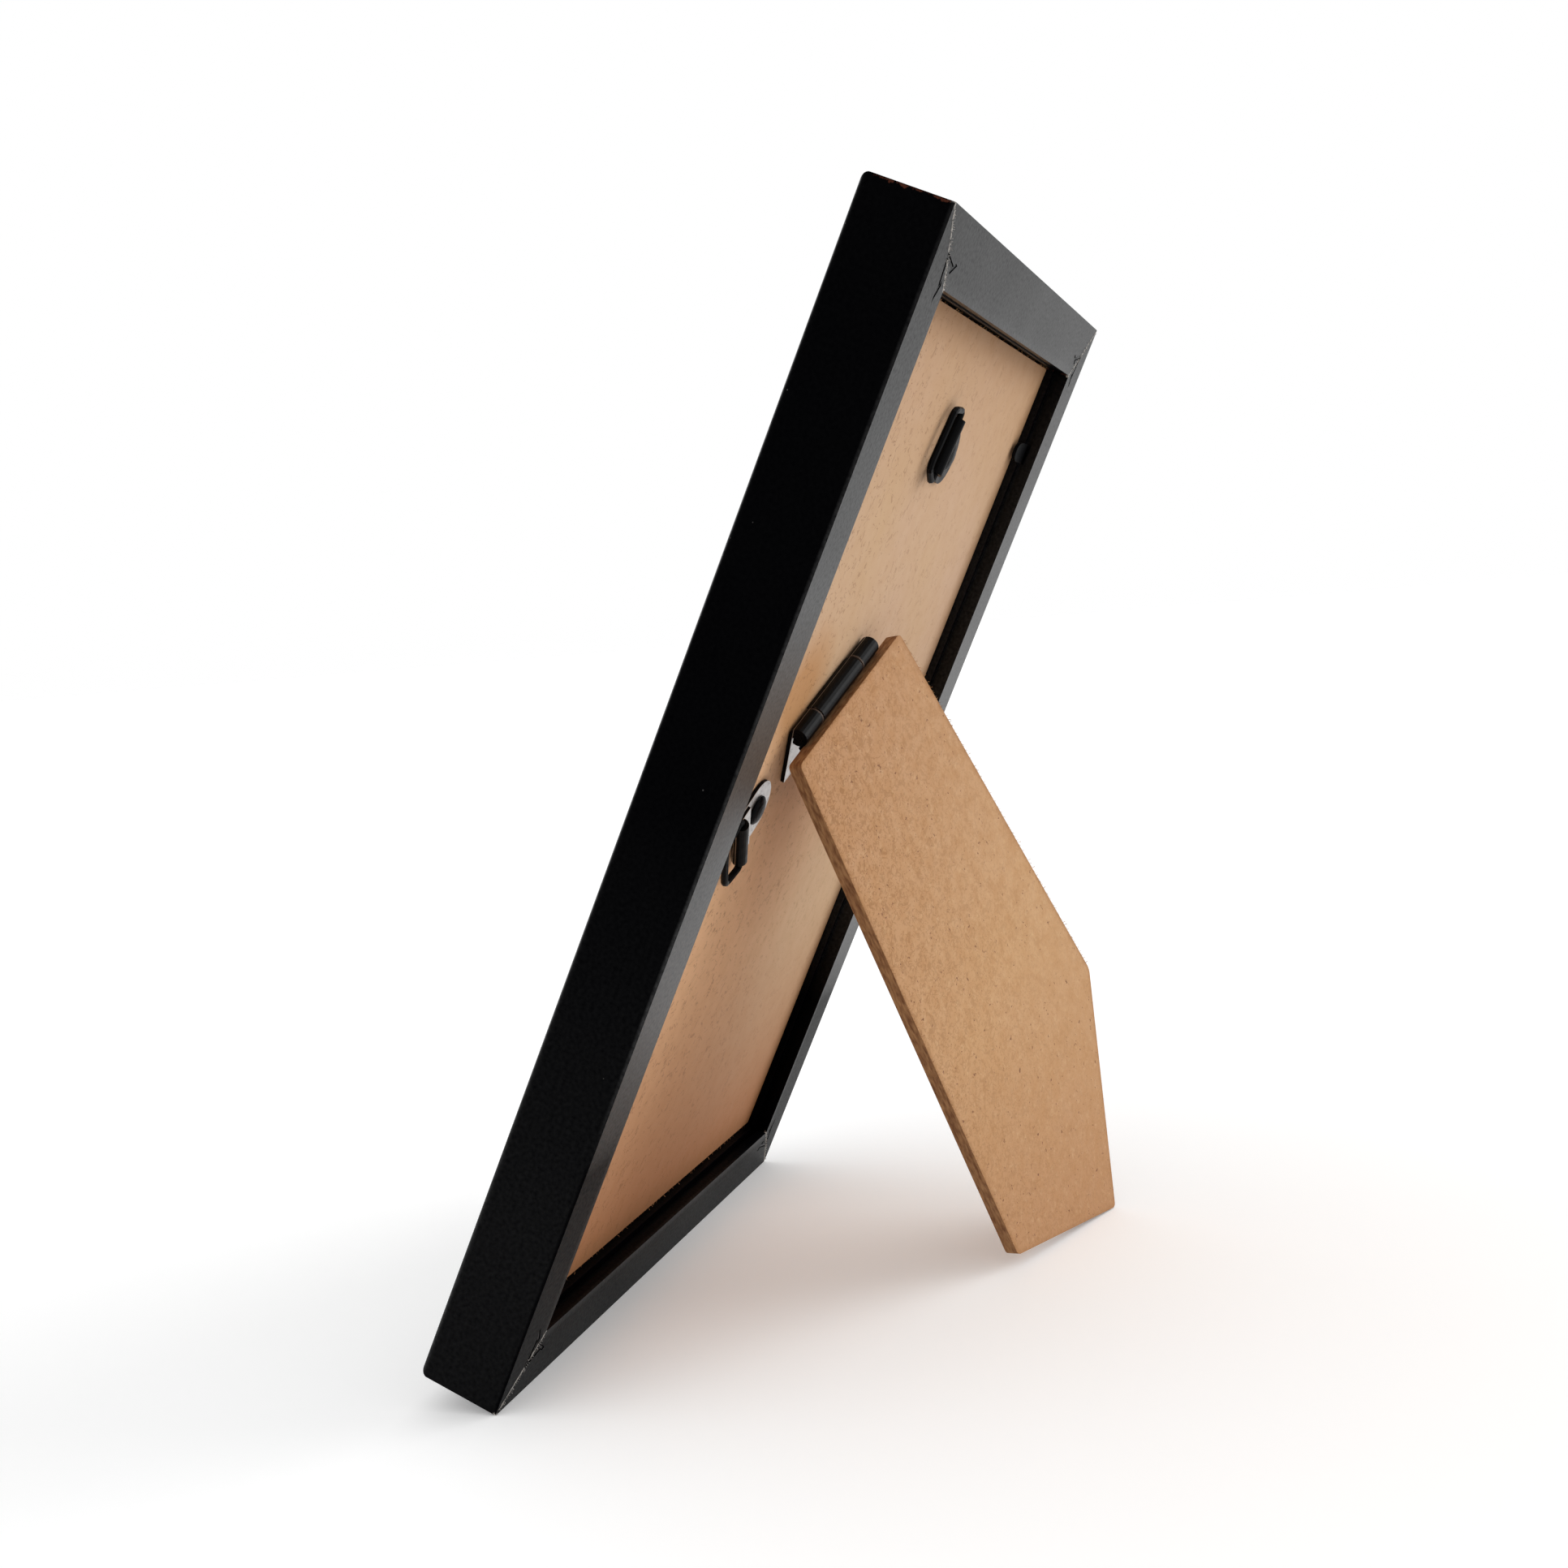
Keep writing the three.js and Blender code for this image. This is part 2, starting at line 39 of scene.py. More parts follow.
# Sizes in millimetres of the frame as it stands upright, before it leans back on its leg
MM = 0.001
HALF_WIDTH = 61.2
HALF_HEIGHT = 86.6
RAIL_WIDTH = 9.6
RAIL_DEPTH = 12.65
BOARD_PLAY = 0.4
BOARD_RECESS = 4.1
BOARD_HALF_WIDTH = HALF_WIDTH - RAIL_WIDTH - BOARD_PLAY
BOARD_HALF_HEIGHT = HALF_HEIGHT - RAIL_WIDTH - BOARD_PLAY
LEG_THICKNESS = 2.2
LEG_OUTLINE = [(-18.0, -1.65), (-27.32, -77.87), (-4.32, -113.01), (24.38, -94.23), (17.6, -1.65)]
KNUCKLE_JOINT = 7.1
HINGE_FLAT = -0.9
STRAP_FLATS = [-3.45, -2.95]
FLAT_TOLERANCE = 0.04

# The lean of the frame and the place of the hinge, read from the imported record
wall = next(mount for mount in frame["record"]["mounts"] if mount["name"] == "wall_face")
hinge = next(joint for joint in frame["joints"] if joint["name"] == "leg_fold")
lean = math.atan2(-wall["axis"][2], wall["axis"][1])
foot_shift = wall["pos_m"][1] - wall["pos_m"][2] * math.tan(lean)
leg_open = -math.radians(hinge["range_deg"][0])

# Where each set of pieces lies: millimetres along its own directions to metres in the scene
hinge_axis = Vector(hinge["axis"]).normalized()
board_normal = Vector(wall["axis"]).normalized()
hinge_turn = Matrix((hinge_axis, board_normal, hinge_axis.cross(board_normal))).transposed().to_4x4()
UPRIGHT = Matrix.Translation((0, foot_shift, 0)) @ Matrix.Rotation(-lean, 4, "X") @ Matrix.Scale(MM, 4)
HINGE = Matrix.Translation(hinge["pos_m"]) @ hinge_turn @ Matrix.Scale(MM, 4)
LEG = HINGE @ Matrix.Rotation(leg_open, 4, "X")


def linear(hex_colour):
    """An sRGB hex colour as linear red, green, blue and alpha."""
    channels = [int(hex_colour[i:i + 2], 16) / 255 for i in (1, 3, 5)]
    return [c / 12.92 if c <= 0.04045 else ((c + 0.055) / 1.055) ** 2.4 for c in channels] + [1.0]


def add(tree, kind, inputs, **settings):
    """One node in a tree: its settings, and its inputs as values or as sockets to link."""
    made = tree.nodes.new(kind)
    for name, value in settings.items():
        setattr(made, name, value)
    for name, value in inputs.items():
        if isinstance(value, bpy.types.NodeSocket):
            tree.links.new(value, made.inputs[name])
        else:
            made.inputs[name].default_value = value
    return made


def start_finish(name, place):
    """A new material, and a socket that gives millimetres along a piece's own directions."""
    material = bpy.data.materials.new(name)
    material.use_nodes = True
    tree = material.node_tree
    tree.nodes.clear()
    back = place.inverted()
    coordinates = add(tree, "ShaderNodeTexCoord", {})
    along = add(tree, "ShaderNodeMapping", {
        "Vector": coordinates.outputs["Object"], "Location": back.to_translation(),
        "Rotation": back.to_euler("XYZ"), "Scale": (1 / MM, 1 / MM, 1 / MM),
    })
    return material, tree, along.outputs["Vector"]


def close_finish(tree, height, relief, surface):
    """The end of a material: its surface, with a relief in millimetres."""
    bump = add(tree, "ShaderNodeBump", {"Height": height, "Distance": relief * MM, "Strength": 1.0})
    shader = add(tree, "ShaderNodeBsdfPrincipled", {**surface, "Normal": bump.outputs["Normal"]})
    add(tree, "ShaderNodeOutputMaterial", {"Surface": shader.outputs["BSDF"]})


def from_middle(tree, axes):
    """How far a point lies sideways and lengthways from the middle of the frame."""
    across = add(tree, "ShaderNodeMath", {0: axes.outputs["X"]}, operation="ABSOLUTE")
    above = add(tree, "ShaderNodeMath", {0: axes.outputs["Z"], 1: HALF_HEIGHT}, operation="SUBTRACT")
    along = add(tree, "ShaderNodeMath", {0: above.outputs[0]}, operation="ABSOLUTE")
    return across.outputs[0], along.outputs[0]


def curled_fibres(tree, mm, spacing, width, kept):
    """How much of a short curled fibre lies at each point: thin lines round a warped noise, broken into
    pieces. Real fibres are a few hundredths of a millimetre wide, and are drawn wider so that they show."""
    swirl = add(tree, "ShaderNodeTexNoise", {
        "Vector": mm, "Scale": 1 / spacing, "Detail": 1.0, "Distortion": 1.3,
    })
    off = add(tree, "ShaderNodeMath", {0: swirl.outputs["Fac"], 1: 0.5}, operation="SUBTRACT")
    near = add(tree, "ShaderNodeMath", {0: off.outputs[0]}, operation="ABSOLUTE")
    line = add(tree, "ShaderNodeMapRange", {
        "Value": near.outputs[0], "From Min": width / spacing * 0.42, "From Max": width / spacing * 0.14,
        "To Min": 0.0, "To Max": 1.0,
    })
    patch_size = 0.7 * spacing
    patch = add(tree, "ShaderNodeTexNoise", {"Vector": mm, "Scale": 1 / patch_size, "Detail": 2.0})
    piece = add(tree, "ShaderNodeMapRange", {
        "Value": patch.outputs["Fac"], "From Min": kept, "From Max": kept + 0.08,
        "To Min": 0.0, "To Max": 1.0,
    })
    broken = add(tree, "ShaderNodeMath", {0: line.outputs[0], 1: piece.outputs[0]}, operation="MULTIPLY")
    return broken.outputs[0]


def black_foil():
    """Black foil wrapped over MDF by rollers, then mitred: satin jet black with a fine calendered grain,
    faint smudges, a few specks of dust, and pale torn fibre where the saw cut through at the corners."""
    tear_size = 0.7
    smudge_size = 14
    dust_spacing = 4.2
    # The real grain is finer than 0.2 mm, and is drawn coarser so that it shows
    grain_size = 0.6
    skin = 0.25
    below_skin = 0.6
    front_edge = 1.5
    behind_front_edge = 3.5
    upper_blend = 10
    # Heights and levels of the painted sheen and of the painted arris highlight
    dullest_height = 38.0
    brightest_height = 64.0
    head_height = 168.0
    most_shine = 0.27
    arris_width = 1.6
    arris_crest = 0.3
    outer_foot = 25.0
    outer_middle = 90.0

    material, tree, mm = start_finish("black_foil_wrapped_mdf", UPRIGHT)
    axes = add(tree, "ShaderNodeSeparateXYZ", {"Vector": mm})
    across, along = from_middle(tree, axes)

    # Distance from the mitre planes, the same sum at all four corners
    off = add(tree, "ShaderNodeMath", {0: along, 1: across}, operation="SUBTRACT")
    past = add(tree, "ShaderNodeMath", {
        0: off.outputs[0], 1: HALF_HEIGHT - HALF_WIDTH,
    }, operation="SUBTRACT")
    gap = add(tree, "ShaderNodeMath", {0: past.outputs[0]}, operation="ABSOLUTE")
    tear = add(tree, "ShaderNodeTexNoise", {
        "Vector": mm, "Scale": 1 / tear_size, "Detail": 3.0, "Roughness": 0.65,
    })
    torn = add(tree, "ShaderNodeMath", {
        0: tear.outputs["Fac"], 1: -1.5, 2: gap.outputs[0],
    }, operation="MULTIPLY_ADD")
    fray = add(tree, "ShaderNodeMapRange", {
        "Value": torn.outputs[0], "From Min": -0.42, "From Max": -0.58, "To Min": 0.0, "To Max": 1.0,
    })

    # The raw fibre shows on the rails' backs and on the upper corners, but not round the front edge
    on_back = add(tree, "ShaderNodeMapRange", {
        "Value": axes.outputs["Y"], "From Min": -below_skin, "From Max": -skin, "To Min": 0.0, "To Max": 1.0,
    })
    off_front = add(tree, "ShaderNodeMapRange", {
        "Value": axes.outputs["Y"], "From Min": front_edge - RAIL_DEPTH,
        "From Max": behind_front_edge - RAIL_DEPTH, "To Min": 0.0, "To Max": 1.0,
    })
    upper = add(tree, "ShaderNodeMapRange", {
        "Value": axes.outputs["Z"], "From Min": HALF_HEIGHT, "From Max": HALF_HEIGHT + upper_blend,
        "To Min": 0.0, "To Max": 1.0,
    })
    open_cut = add(tree, "ShaderNodeMath", {
        0: upper.outputs[0], 1: on_back.outputs[0],
    }, operation="MAXIMUM")
    seen_cut = add(tree, "ShaderNodeMath", {
        0: open_cut.outputs[0], 1: off_front.outputs[0],
    }, operation="MULTIPLY")
    raw = add(tree, "ShaderNodeMath", {0: fray.outputs[0], 1: seen_cut.outputs[0]}, operation="MULTIPLY")

    # Colour: black with broad smudges, then dust, then the raw fibre of the corners
    smudge = add(tree, "ShaderNodeTexNoise", {"Vector": mm, "Scale": 1 / smudge_size, "Detail": 3.0})
    dust = add(tree, "ShaderNodeTexVoronoi", {"Vector": mm, "Scale": 1 / dust_spacing})
    speck = add(tree, "ShaderNodeMapRange", {
        "Value": dust.outputs["Distance"], "From Min": 0.03, "From Max": 0.018,
        "To Min": 0.0, "To Max": 0.22,
    })
    black = add(tree, "ShaderNodeMix", {
        0: smudge.outputs["Fac"], 6: linear("#010102"), 7: linear("#030304"),
    }, data_type="RGBA")
    dusty = add(tree, "ShaderNodeMix", {
        0: speck.outputs[0], 6: black.outputs[2], 7: linear("#8d8a86"),
    }, data_type="RGBA")
    fibre = add(tree, "ShaderNodeMix", {
        0: on_back.outputs[0], 6: linear("#44241a"), 7: linear("#bdb8b2"),
    }, data_type="RGBA")
    colour = add(tree, "ShaderNodeMix", {
        0: raw.outputs[0], 6: dusty.outputs[2], 7: fibre.outputs[2],
    }, data_type="RGBA")

    # Roughness: satin, smeared by handling, and dull on the raw fibre
    satin = add(tree, "ShaderNodeMapRange", {
        "Value": smudge.outputs["Fac"], "From Min": 0.3, "From Max": 0.7, "To Min": 0.32, "To Max": 0.35,
    })
    rough = add(tree, "ShaderNodeMath", {0: satin.outputs[0], 1: raw.outputs[0]}, operation="MAXIMUM")
    grain = add(tree, "ShaderNodeTexNoise", {"Vector": mm, "Scale": 1 / grain_size, "Detail": 2.0})
    relief = add(tree, "ShaderNodeMath", {
        0: tear.outputs["Fac"], 1: raw.outputs[0], 2: grain.outputs["Fac"],
    }, operation="MULTIPLY_ADD")

    # Shine: a painted sheen, the specular level set by height to stand in for reflections on the backs and
    # inner walls, brightest low on the frame, with a painted highlight along the inner arris
    rising = add(tree, "ShaderNodeMapRange", {
        "Value": axes.outputs["Z"], "From Min": dullest_height, "From Max": brightest_height,
        "To Min": 0.013, "To Max": most_shine,
    })
    falling = add(tree, "ShaderNodeMapRange", {
        "Value": axes.outputs["Z"], "From Min": brightest_height, "From Max": head_height,
        "To Min": most_shine, "To Max": 0.074,
    })
    painted_sheen_by_height = add(tree, "ShaderNodeMath", {
        0: rising.outputs[0], 1: falling.outputs[0],
    }, operation="MINIMUM")
    side = add(tree, "ShaderNodeMath", {0: across, 1: HALF_WIDTH}, operation="SUBTRACT")
    end = add(tree, "ShaderNodeMath", {0: along, 1: HALF_HEIGHT}, operation="SUBTRACT")
    outward = add(tree, "ShaderNodeMath", {0: side.outputs[0], 1: end.outputs[0]}, operation="MAXIMUM")
    arris = add(tree, "ShaderNodeMapRange", {
        "Value": outward.outputs[0], "From Min": arris_width - RAIL_WIDTH,
        "From Max": arris_crest - RAIL_WIDTH, "To Min": 0.0, "To Max": 0.022,
    })
    # rolled: the painted sheen by height plus the painted arris highlight on the backs
    rolled = add(tree, "ShaderNodeMath", {
        0: arris.outputs[0], 1: on_back.outputs[0], 2: painted_sheen_by_height.outputs[0],
    }, operation="MULTIPLY_ADD")

    # The outer faces keep less shine, least from the middle up: a painted sheen that grows towards the foot
    inward = add(tree, "ShaderNodeMapRange", {
        "Value": outward.outputs[0], "From Min": -skin, "From Max": -below_skin, "To Min": 0.0, "To Max": 1.0,
    })
    worn_knuckles_and_sheen_faces = add(tree, "ShaderNodeMath", {
        0: inward.outputs[0], 1: on_back.outputs[0],
    }, operation="MAXIMUM")
    outside = add(tree, "ShaderNodeMapRange", {
        "Value": axes.outputs["Z"], "From Min": outer_middle, "From Max": outer_foot,
        "To Min": 0.01, "To Max": 0.055,
    })
    sheen = add(tree, "ShaderNodeMix", {
        0: worn_knuckles_and_sheen_faces.outputs[0], 2: outside.outputs[0], 3: rolled.outputs[0],
    })
    dapple = add(tree, "ShaderNodeMath", {0: grain.outputs["Fac"], 1: 2.0}, operation="MULTIPLY")
    shine = add(tree, "ShaderNodeMath", {0: sheen.outputs[0], 1: dapple.outputs[0]}, operation="MULTIPLY")
    close_finish(tree, relief.outputs[0], 0.012, {
        "Base Color": colour.outputs[2], "Roughness": rough.outputs[0],
        "IOR": 1.5, "Specular IOR Level": shine.outputs[0],
    })
    return material


def back_hardboard():
    """Hardboard pressed from tan fibre: a matte face with broad pale and brown clouds, painted shade at its
    head, its foot and beside the hinge, painted bounce light below the hinge, browned cut edges with painted
    shade along them, with short dark fibres lying every way and specks of bark."""
    cloud_size = 30
    mottle_size = 2.6
    fibre_spacing = 2.2
    fibre_width = 0.22
    bark_size = 0.75
    # Where the painted bounce light, and the painted shade at the head, at the foot and beside the hinge, lie
    hinge_top = 108.0
    hinge_foot = 86.0
    pale_side = -20.0
    warm_side = 18.0
    head_start = 132.0
    head_end = 166.0
    foot_start = 60.0
    foot_end = 12.0
    hinge_shade_place = (31.0, -BOARD_RECESS, 105.0)
    hinge_shade_unevenness = 10.0
    hinge_shade_edge = 17.5
    hinge_shade_middle = 9.5
    smooth_side = -40.0
    rough_side = 45.0
    bark_start = 5.0
    bark_end = 50.0
    edge_inner = 5.0
    edge_outer = -1.4

    material, tree, mm = start_finish("pressed_tan_hardboard", UPRIGHT)
    axes = add(tree, "ShaderNodeSeparateXYZ", {"Vector": mm})
    across, along = from_middle(tree, axes)
    side = add(tree, "ShaderNodeMath", {0: BOARD_HALF_WIDTH, 1: across}, operation="SUBTRACT")
    end = add(tree, "ShaderNodeMath", {0: BOARD_HALF_HEIGHT, 1: along}, operation="SUBTRACT")
    inside = add(tree, "ShaderNodeMath", {0: side.outputs[0], 1: end.outputs[0]}, operation="MINIMUM")

    # The pressed face: clouds in the fibre and a finer mottle, with painted bounce light from the leg making
    # it paler and warmer below the hinge
    cloud = add(tree, "ShaderNodeTexNoise", {"Vector": mm, "Scale": 1 / cloud_size, "Detail": 3.0})
    mottle = add(tree, "ShaderNodeTexNoise", {"Vector": mm, "Scale": 1 / mottle_size, "Detail": 2.0})
    clouds = add(tree, "ShaderNodeMapRange", {
        "Value": cloud.outputs["Fac"], "From Min": 0.3, "From Max": 0.7, "To Min": 0.0, "To Max": 1.0,
    })
    mottled = add(tree, "ShaderNodeMapRange", {
        "Value": mottle.outputs["Fac"], "From Min": 0.35, "From Max": 0.7, "To Min": 0.0, "To Max": 0.12,
    })
    tan = add(tree, "ShaderNodeMix", {
        0: clouds.outputs[0], 6: linear("#bf9d79"), 7: linear("#c1a084"),
    }, data_type="RGBA")
    across_face = add(tree, "ShaderNodeMapRange", {
        "Value": axes.outputs["X"], "From Min": pale_side, "From Max": warm_side,
        "To Min": 0.0, "To Max": 1.0,
    })
    # Painted bounce light: paler and warmer below the hinge, changing from one side to the other
    bounce_lit_tan = add(tree, "ShaderNodeMix", {
        0: across_face.outputs[0], 6: linear("#cdad8a"), 7: linear("#d9aa80"),
    }, data_type="RGBA")
    below_hinge_bounce = add(tree, "ShaderNodeMapRange", {
        "Value": axes.outputs["Z"], "From Min": hinge_top, "From Max": hinge_foot,
        "To Min": 0.0, "To Max": 1.0,
    })
    bounce_lit_ground = add(tree, "ShaderNodeMix", {
        0: below_hinge_bounce.outputs[0], 6: tan.outputs[2], 7: bounce_lit_tan.outputs[2],
    }, data_type="RGBA")
    pressed = add(tree, "ShaderNodeMix", {
        0: mottled.outputs[0], 6: bounce_lit_ground.outputs[2], 7: linear("#ad8762"),
    }, data_type="RGBA")

    # Painted shade: darker and warmer at the head, and darker and browner towards the foot
    head_shade = add(tree, "ShaderNodeMapRange", {
        "Value": axes.outputs["Z"], "From Min": head_start, "From Max": head_end,
        "To Min": 0.0, "To Max": 0.6,
    })
    head_shaded = add(tree, "ShaderNodeMix", {
        0: head_shade.outputs[0], 6: pressed.outputs[2], 7: linear("#b28963"),
    }, data_type="RGBA")
    foot_shade = add(tree, "ShaderNodeMapRange", {
        "Value": axes.outputs["Z"], "From Min": foot_start, "From Max": foot_end,
        "To Min": 0.0, "To Max": 0.9,
    })
    foot_shaded = add(tree, "ShaderNodeMix", {
        0: foot_shade.outputs[0], 6: head_shaded.outputs[2], 7: linear("#a26a43"),
    }, data_type="RGBA")

    # Painted shade beside the hinge: a darker, browner patch with an uneven outline
    from_hinge_shade = add(tree, "ShaderNodeVectorMath", {0: mm, 1: hinge_shade_place}, operation="DISTANCE")
    uneven = add(tree, "ShaderNodeMath", {
        0: cloud.outputs["Fac"], 1: hinge_shade_unevenness, 2: from_hinge_shade.outputs["Value"],
    }, operation="MULTIPLY_ADD")
    hinge_shade = add(tree, "ShaderNodeMapRange", {
        "Value": uneven.outputs[0], "From Min": hinge_shade_edge, "From Max": hinge_shade_middle,
        "To Min": 0.0, "To Max": 1.0,
    })
    hinge_shaded = add(tree, "ShaderNodeMix", {
        0: hinge_shade.outputs[0], 6: foot_shaded.outputs[2], 7: linear("#b18357"),
    }, data_type="RGBA")

    # Loose fibres, stronger towards one side of the face
    rougher = add(tree, "ShaderNodeMapRange", {
        "Value": axes.outputs["X"], "From Min": smooth_side, "From Max": rough_side,
        "To Min": 0.16, "To Max": 0.5,
    })
    strand = add(tree, "ShaderNodeMath", {
        0: curled_fibres(tree, mm, fibre_spacing, fibre_width, 0.5), 1: rougher.outputs[0],
    }, operation="MULTIPLY")

    # Specks of bark: ragged grains, only where a finer noise peaks, and closer together on that same side
    bark = add(tree, "ShaderNodeTexNoise", {
        "Vector": mm, "Scale": 1 / bark_size, "Detail": 3.0, "Roughness": 0.6,
    })
    crowded = add(tree, "ShaderNodeMapRange", {
        "Value": axes.outputs["X"], "From Min": bark_start, "From Max": bark_end,
        "To Min": 0.0, "To Max": 0.11,
    })
    peaks = add(tree, "ShaderNodeMath", {0: bark.outputs["Fac"], 1: crowded.outputs[0]}, operation="ADD")
    speck = add(tree, "ShaderNodeMapRange", {
        "Value": peaks.outputs[0], "From Min": 0.73, "From Max": 0.765, "To Min": 0.0, "To Max": 0.8,
    })
    marks = add(tree, "ShaderNodeMath", {0: strand.outputs[0], 1: speck.outputs[0]}, operation="MAXIMUM")
    fibred = add(tree, "ShaderNodeMix", {
        0: marks.outputs[0], 6: hinge_shaded.outputs[2], 7: linear("#7d5636"),
    }, data_type="RGBA")

    # The cut edges, browned unevenly, with painted shade in the same band along the rails' walls
    ragged = add(tree, "ShaderNodeMath", {
        0: mottle.outputs["Fac"], 1: -3.0, 2: inside.outputs[0],
    }, operation="MULTIPLY_ADD")
    browned_and_shaded_edge = add(tree, "ShaderNodeMapRange", {
        "Value": ragged.outputs[0], "From Min": edge_inner, "From Max": edge_outer,
        "To Min": 0.0, "To Max": 0.5,
    })
    colour = add(tree, "ShaderNodeMix", {
        0: browned_and_shaded_edge.outputs[0], 6: fibred.outputs[2], 7: linear("#9a6f49"),
    }, data_type="RGBA")
    rough = add(tree, "ShaderNodeMapRange", {
        "Value": mottle.outputs["Fac"], "From Min": 0.3, "From Max": 0.7, "To Min": 0.72, "To Max": 0.8,
    })
    relief = add(tree, "ShaderNodeMath", {
        0: mottle.outputs["Fac"], 1: 0.2, 2: marks.outputs[0],
    }, operation="MULTIPLY_ADD")
    close_finish(tree, relief.outputs[0], 0.05, {
        "Base Color": colour.outputs[2], "Roughness": rough.outputs[0],
        "IOR": 1.46, "Specular IOR Level": 0.25,
    })
    return material


def inside_outline(tree, mm, outline):
    """How far a point lies inside an outline of X and Z corners, as a socket in millimetres."""
    inside = None
    for (x0, z0), (x1, z1) in zip(outline, outline[1:] + outline[:1]):
        length = math.hypot(x1 - x0, z1 - z0)
        inward = ((z0 - z1) / length, 0.0, (x1 - x0) / length)
        reach = add(tree, "ShaderNodeVectorMath", {0: mm, 1: inward}, operation="DOT_PRODUCT")
        depth = add(tree, "ShaderNodeMath", {
            0: reach.outputs["Value"], 1: inward[0] * x0 + inward[2] * z0,
        }, operation="SUBTRACT").outputs[0]
        if inside is not None:
            depth = add(tree, "ShaderNodeMath", {0: depth, 1: inside}, operation="MINIMUM").outputs[0]
        inside = depth
    return inside


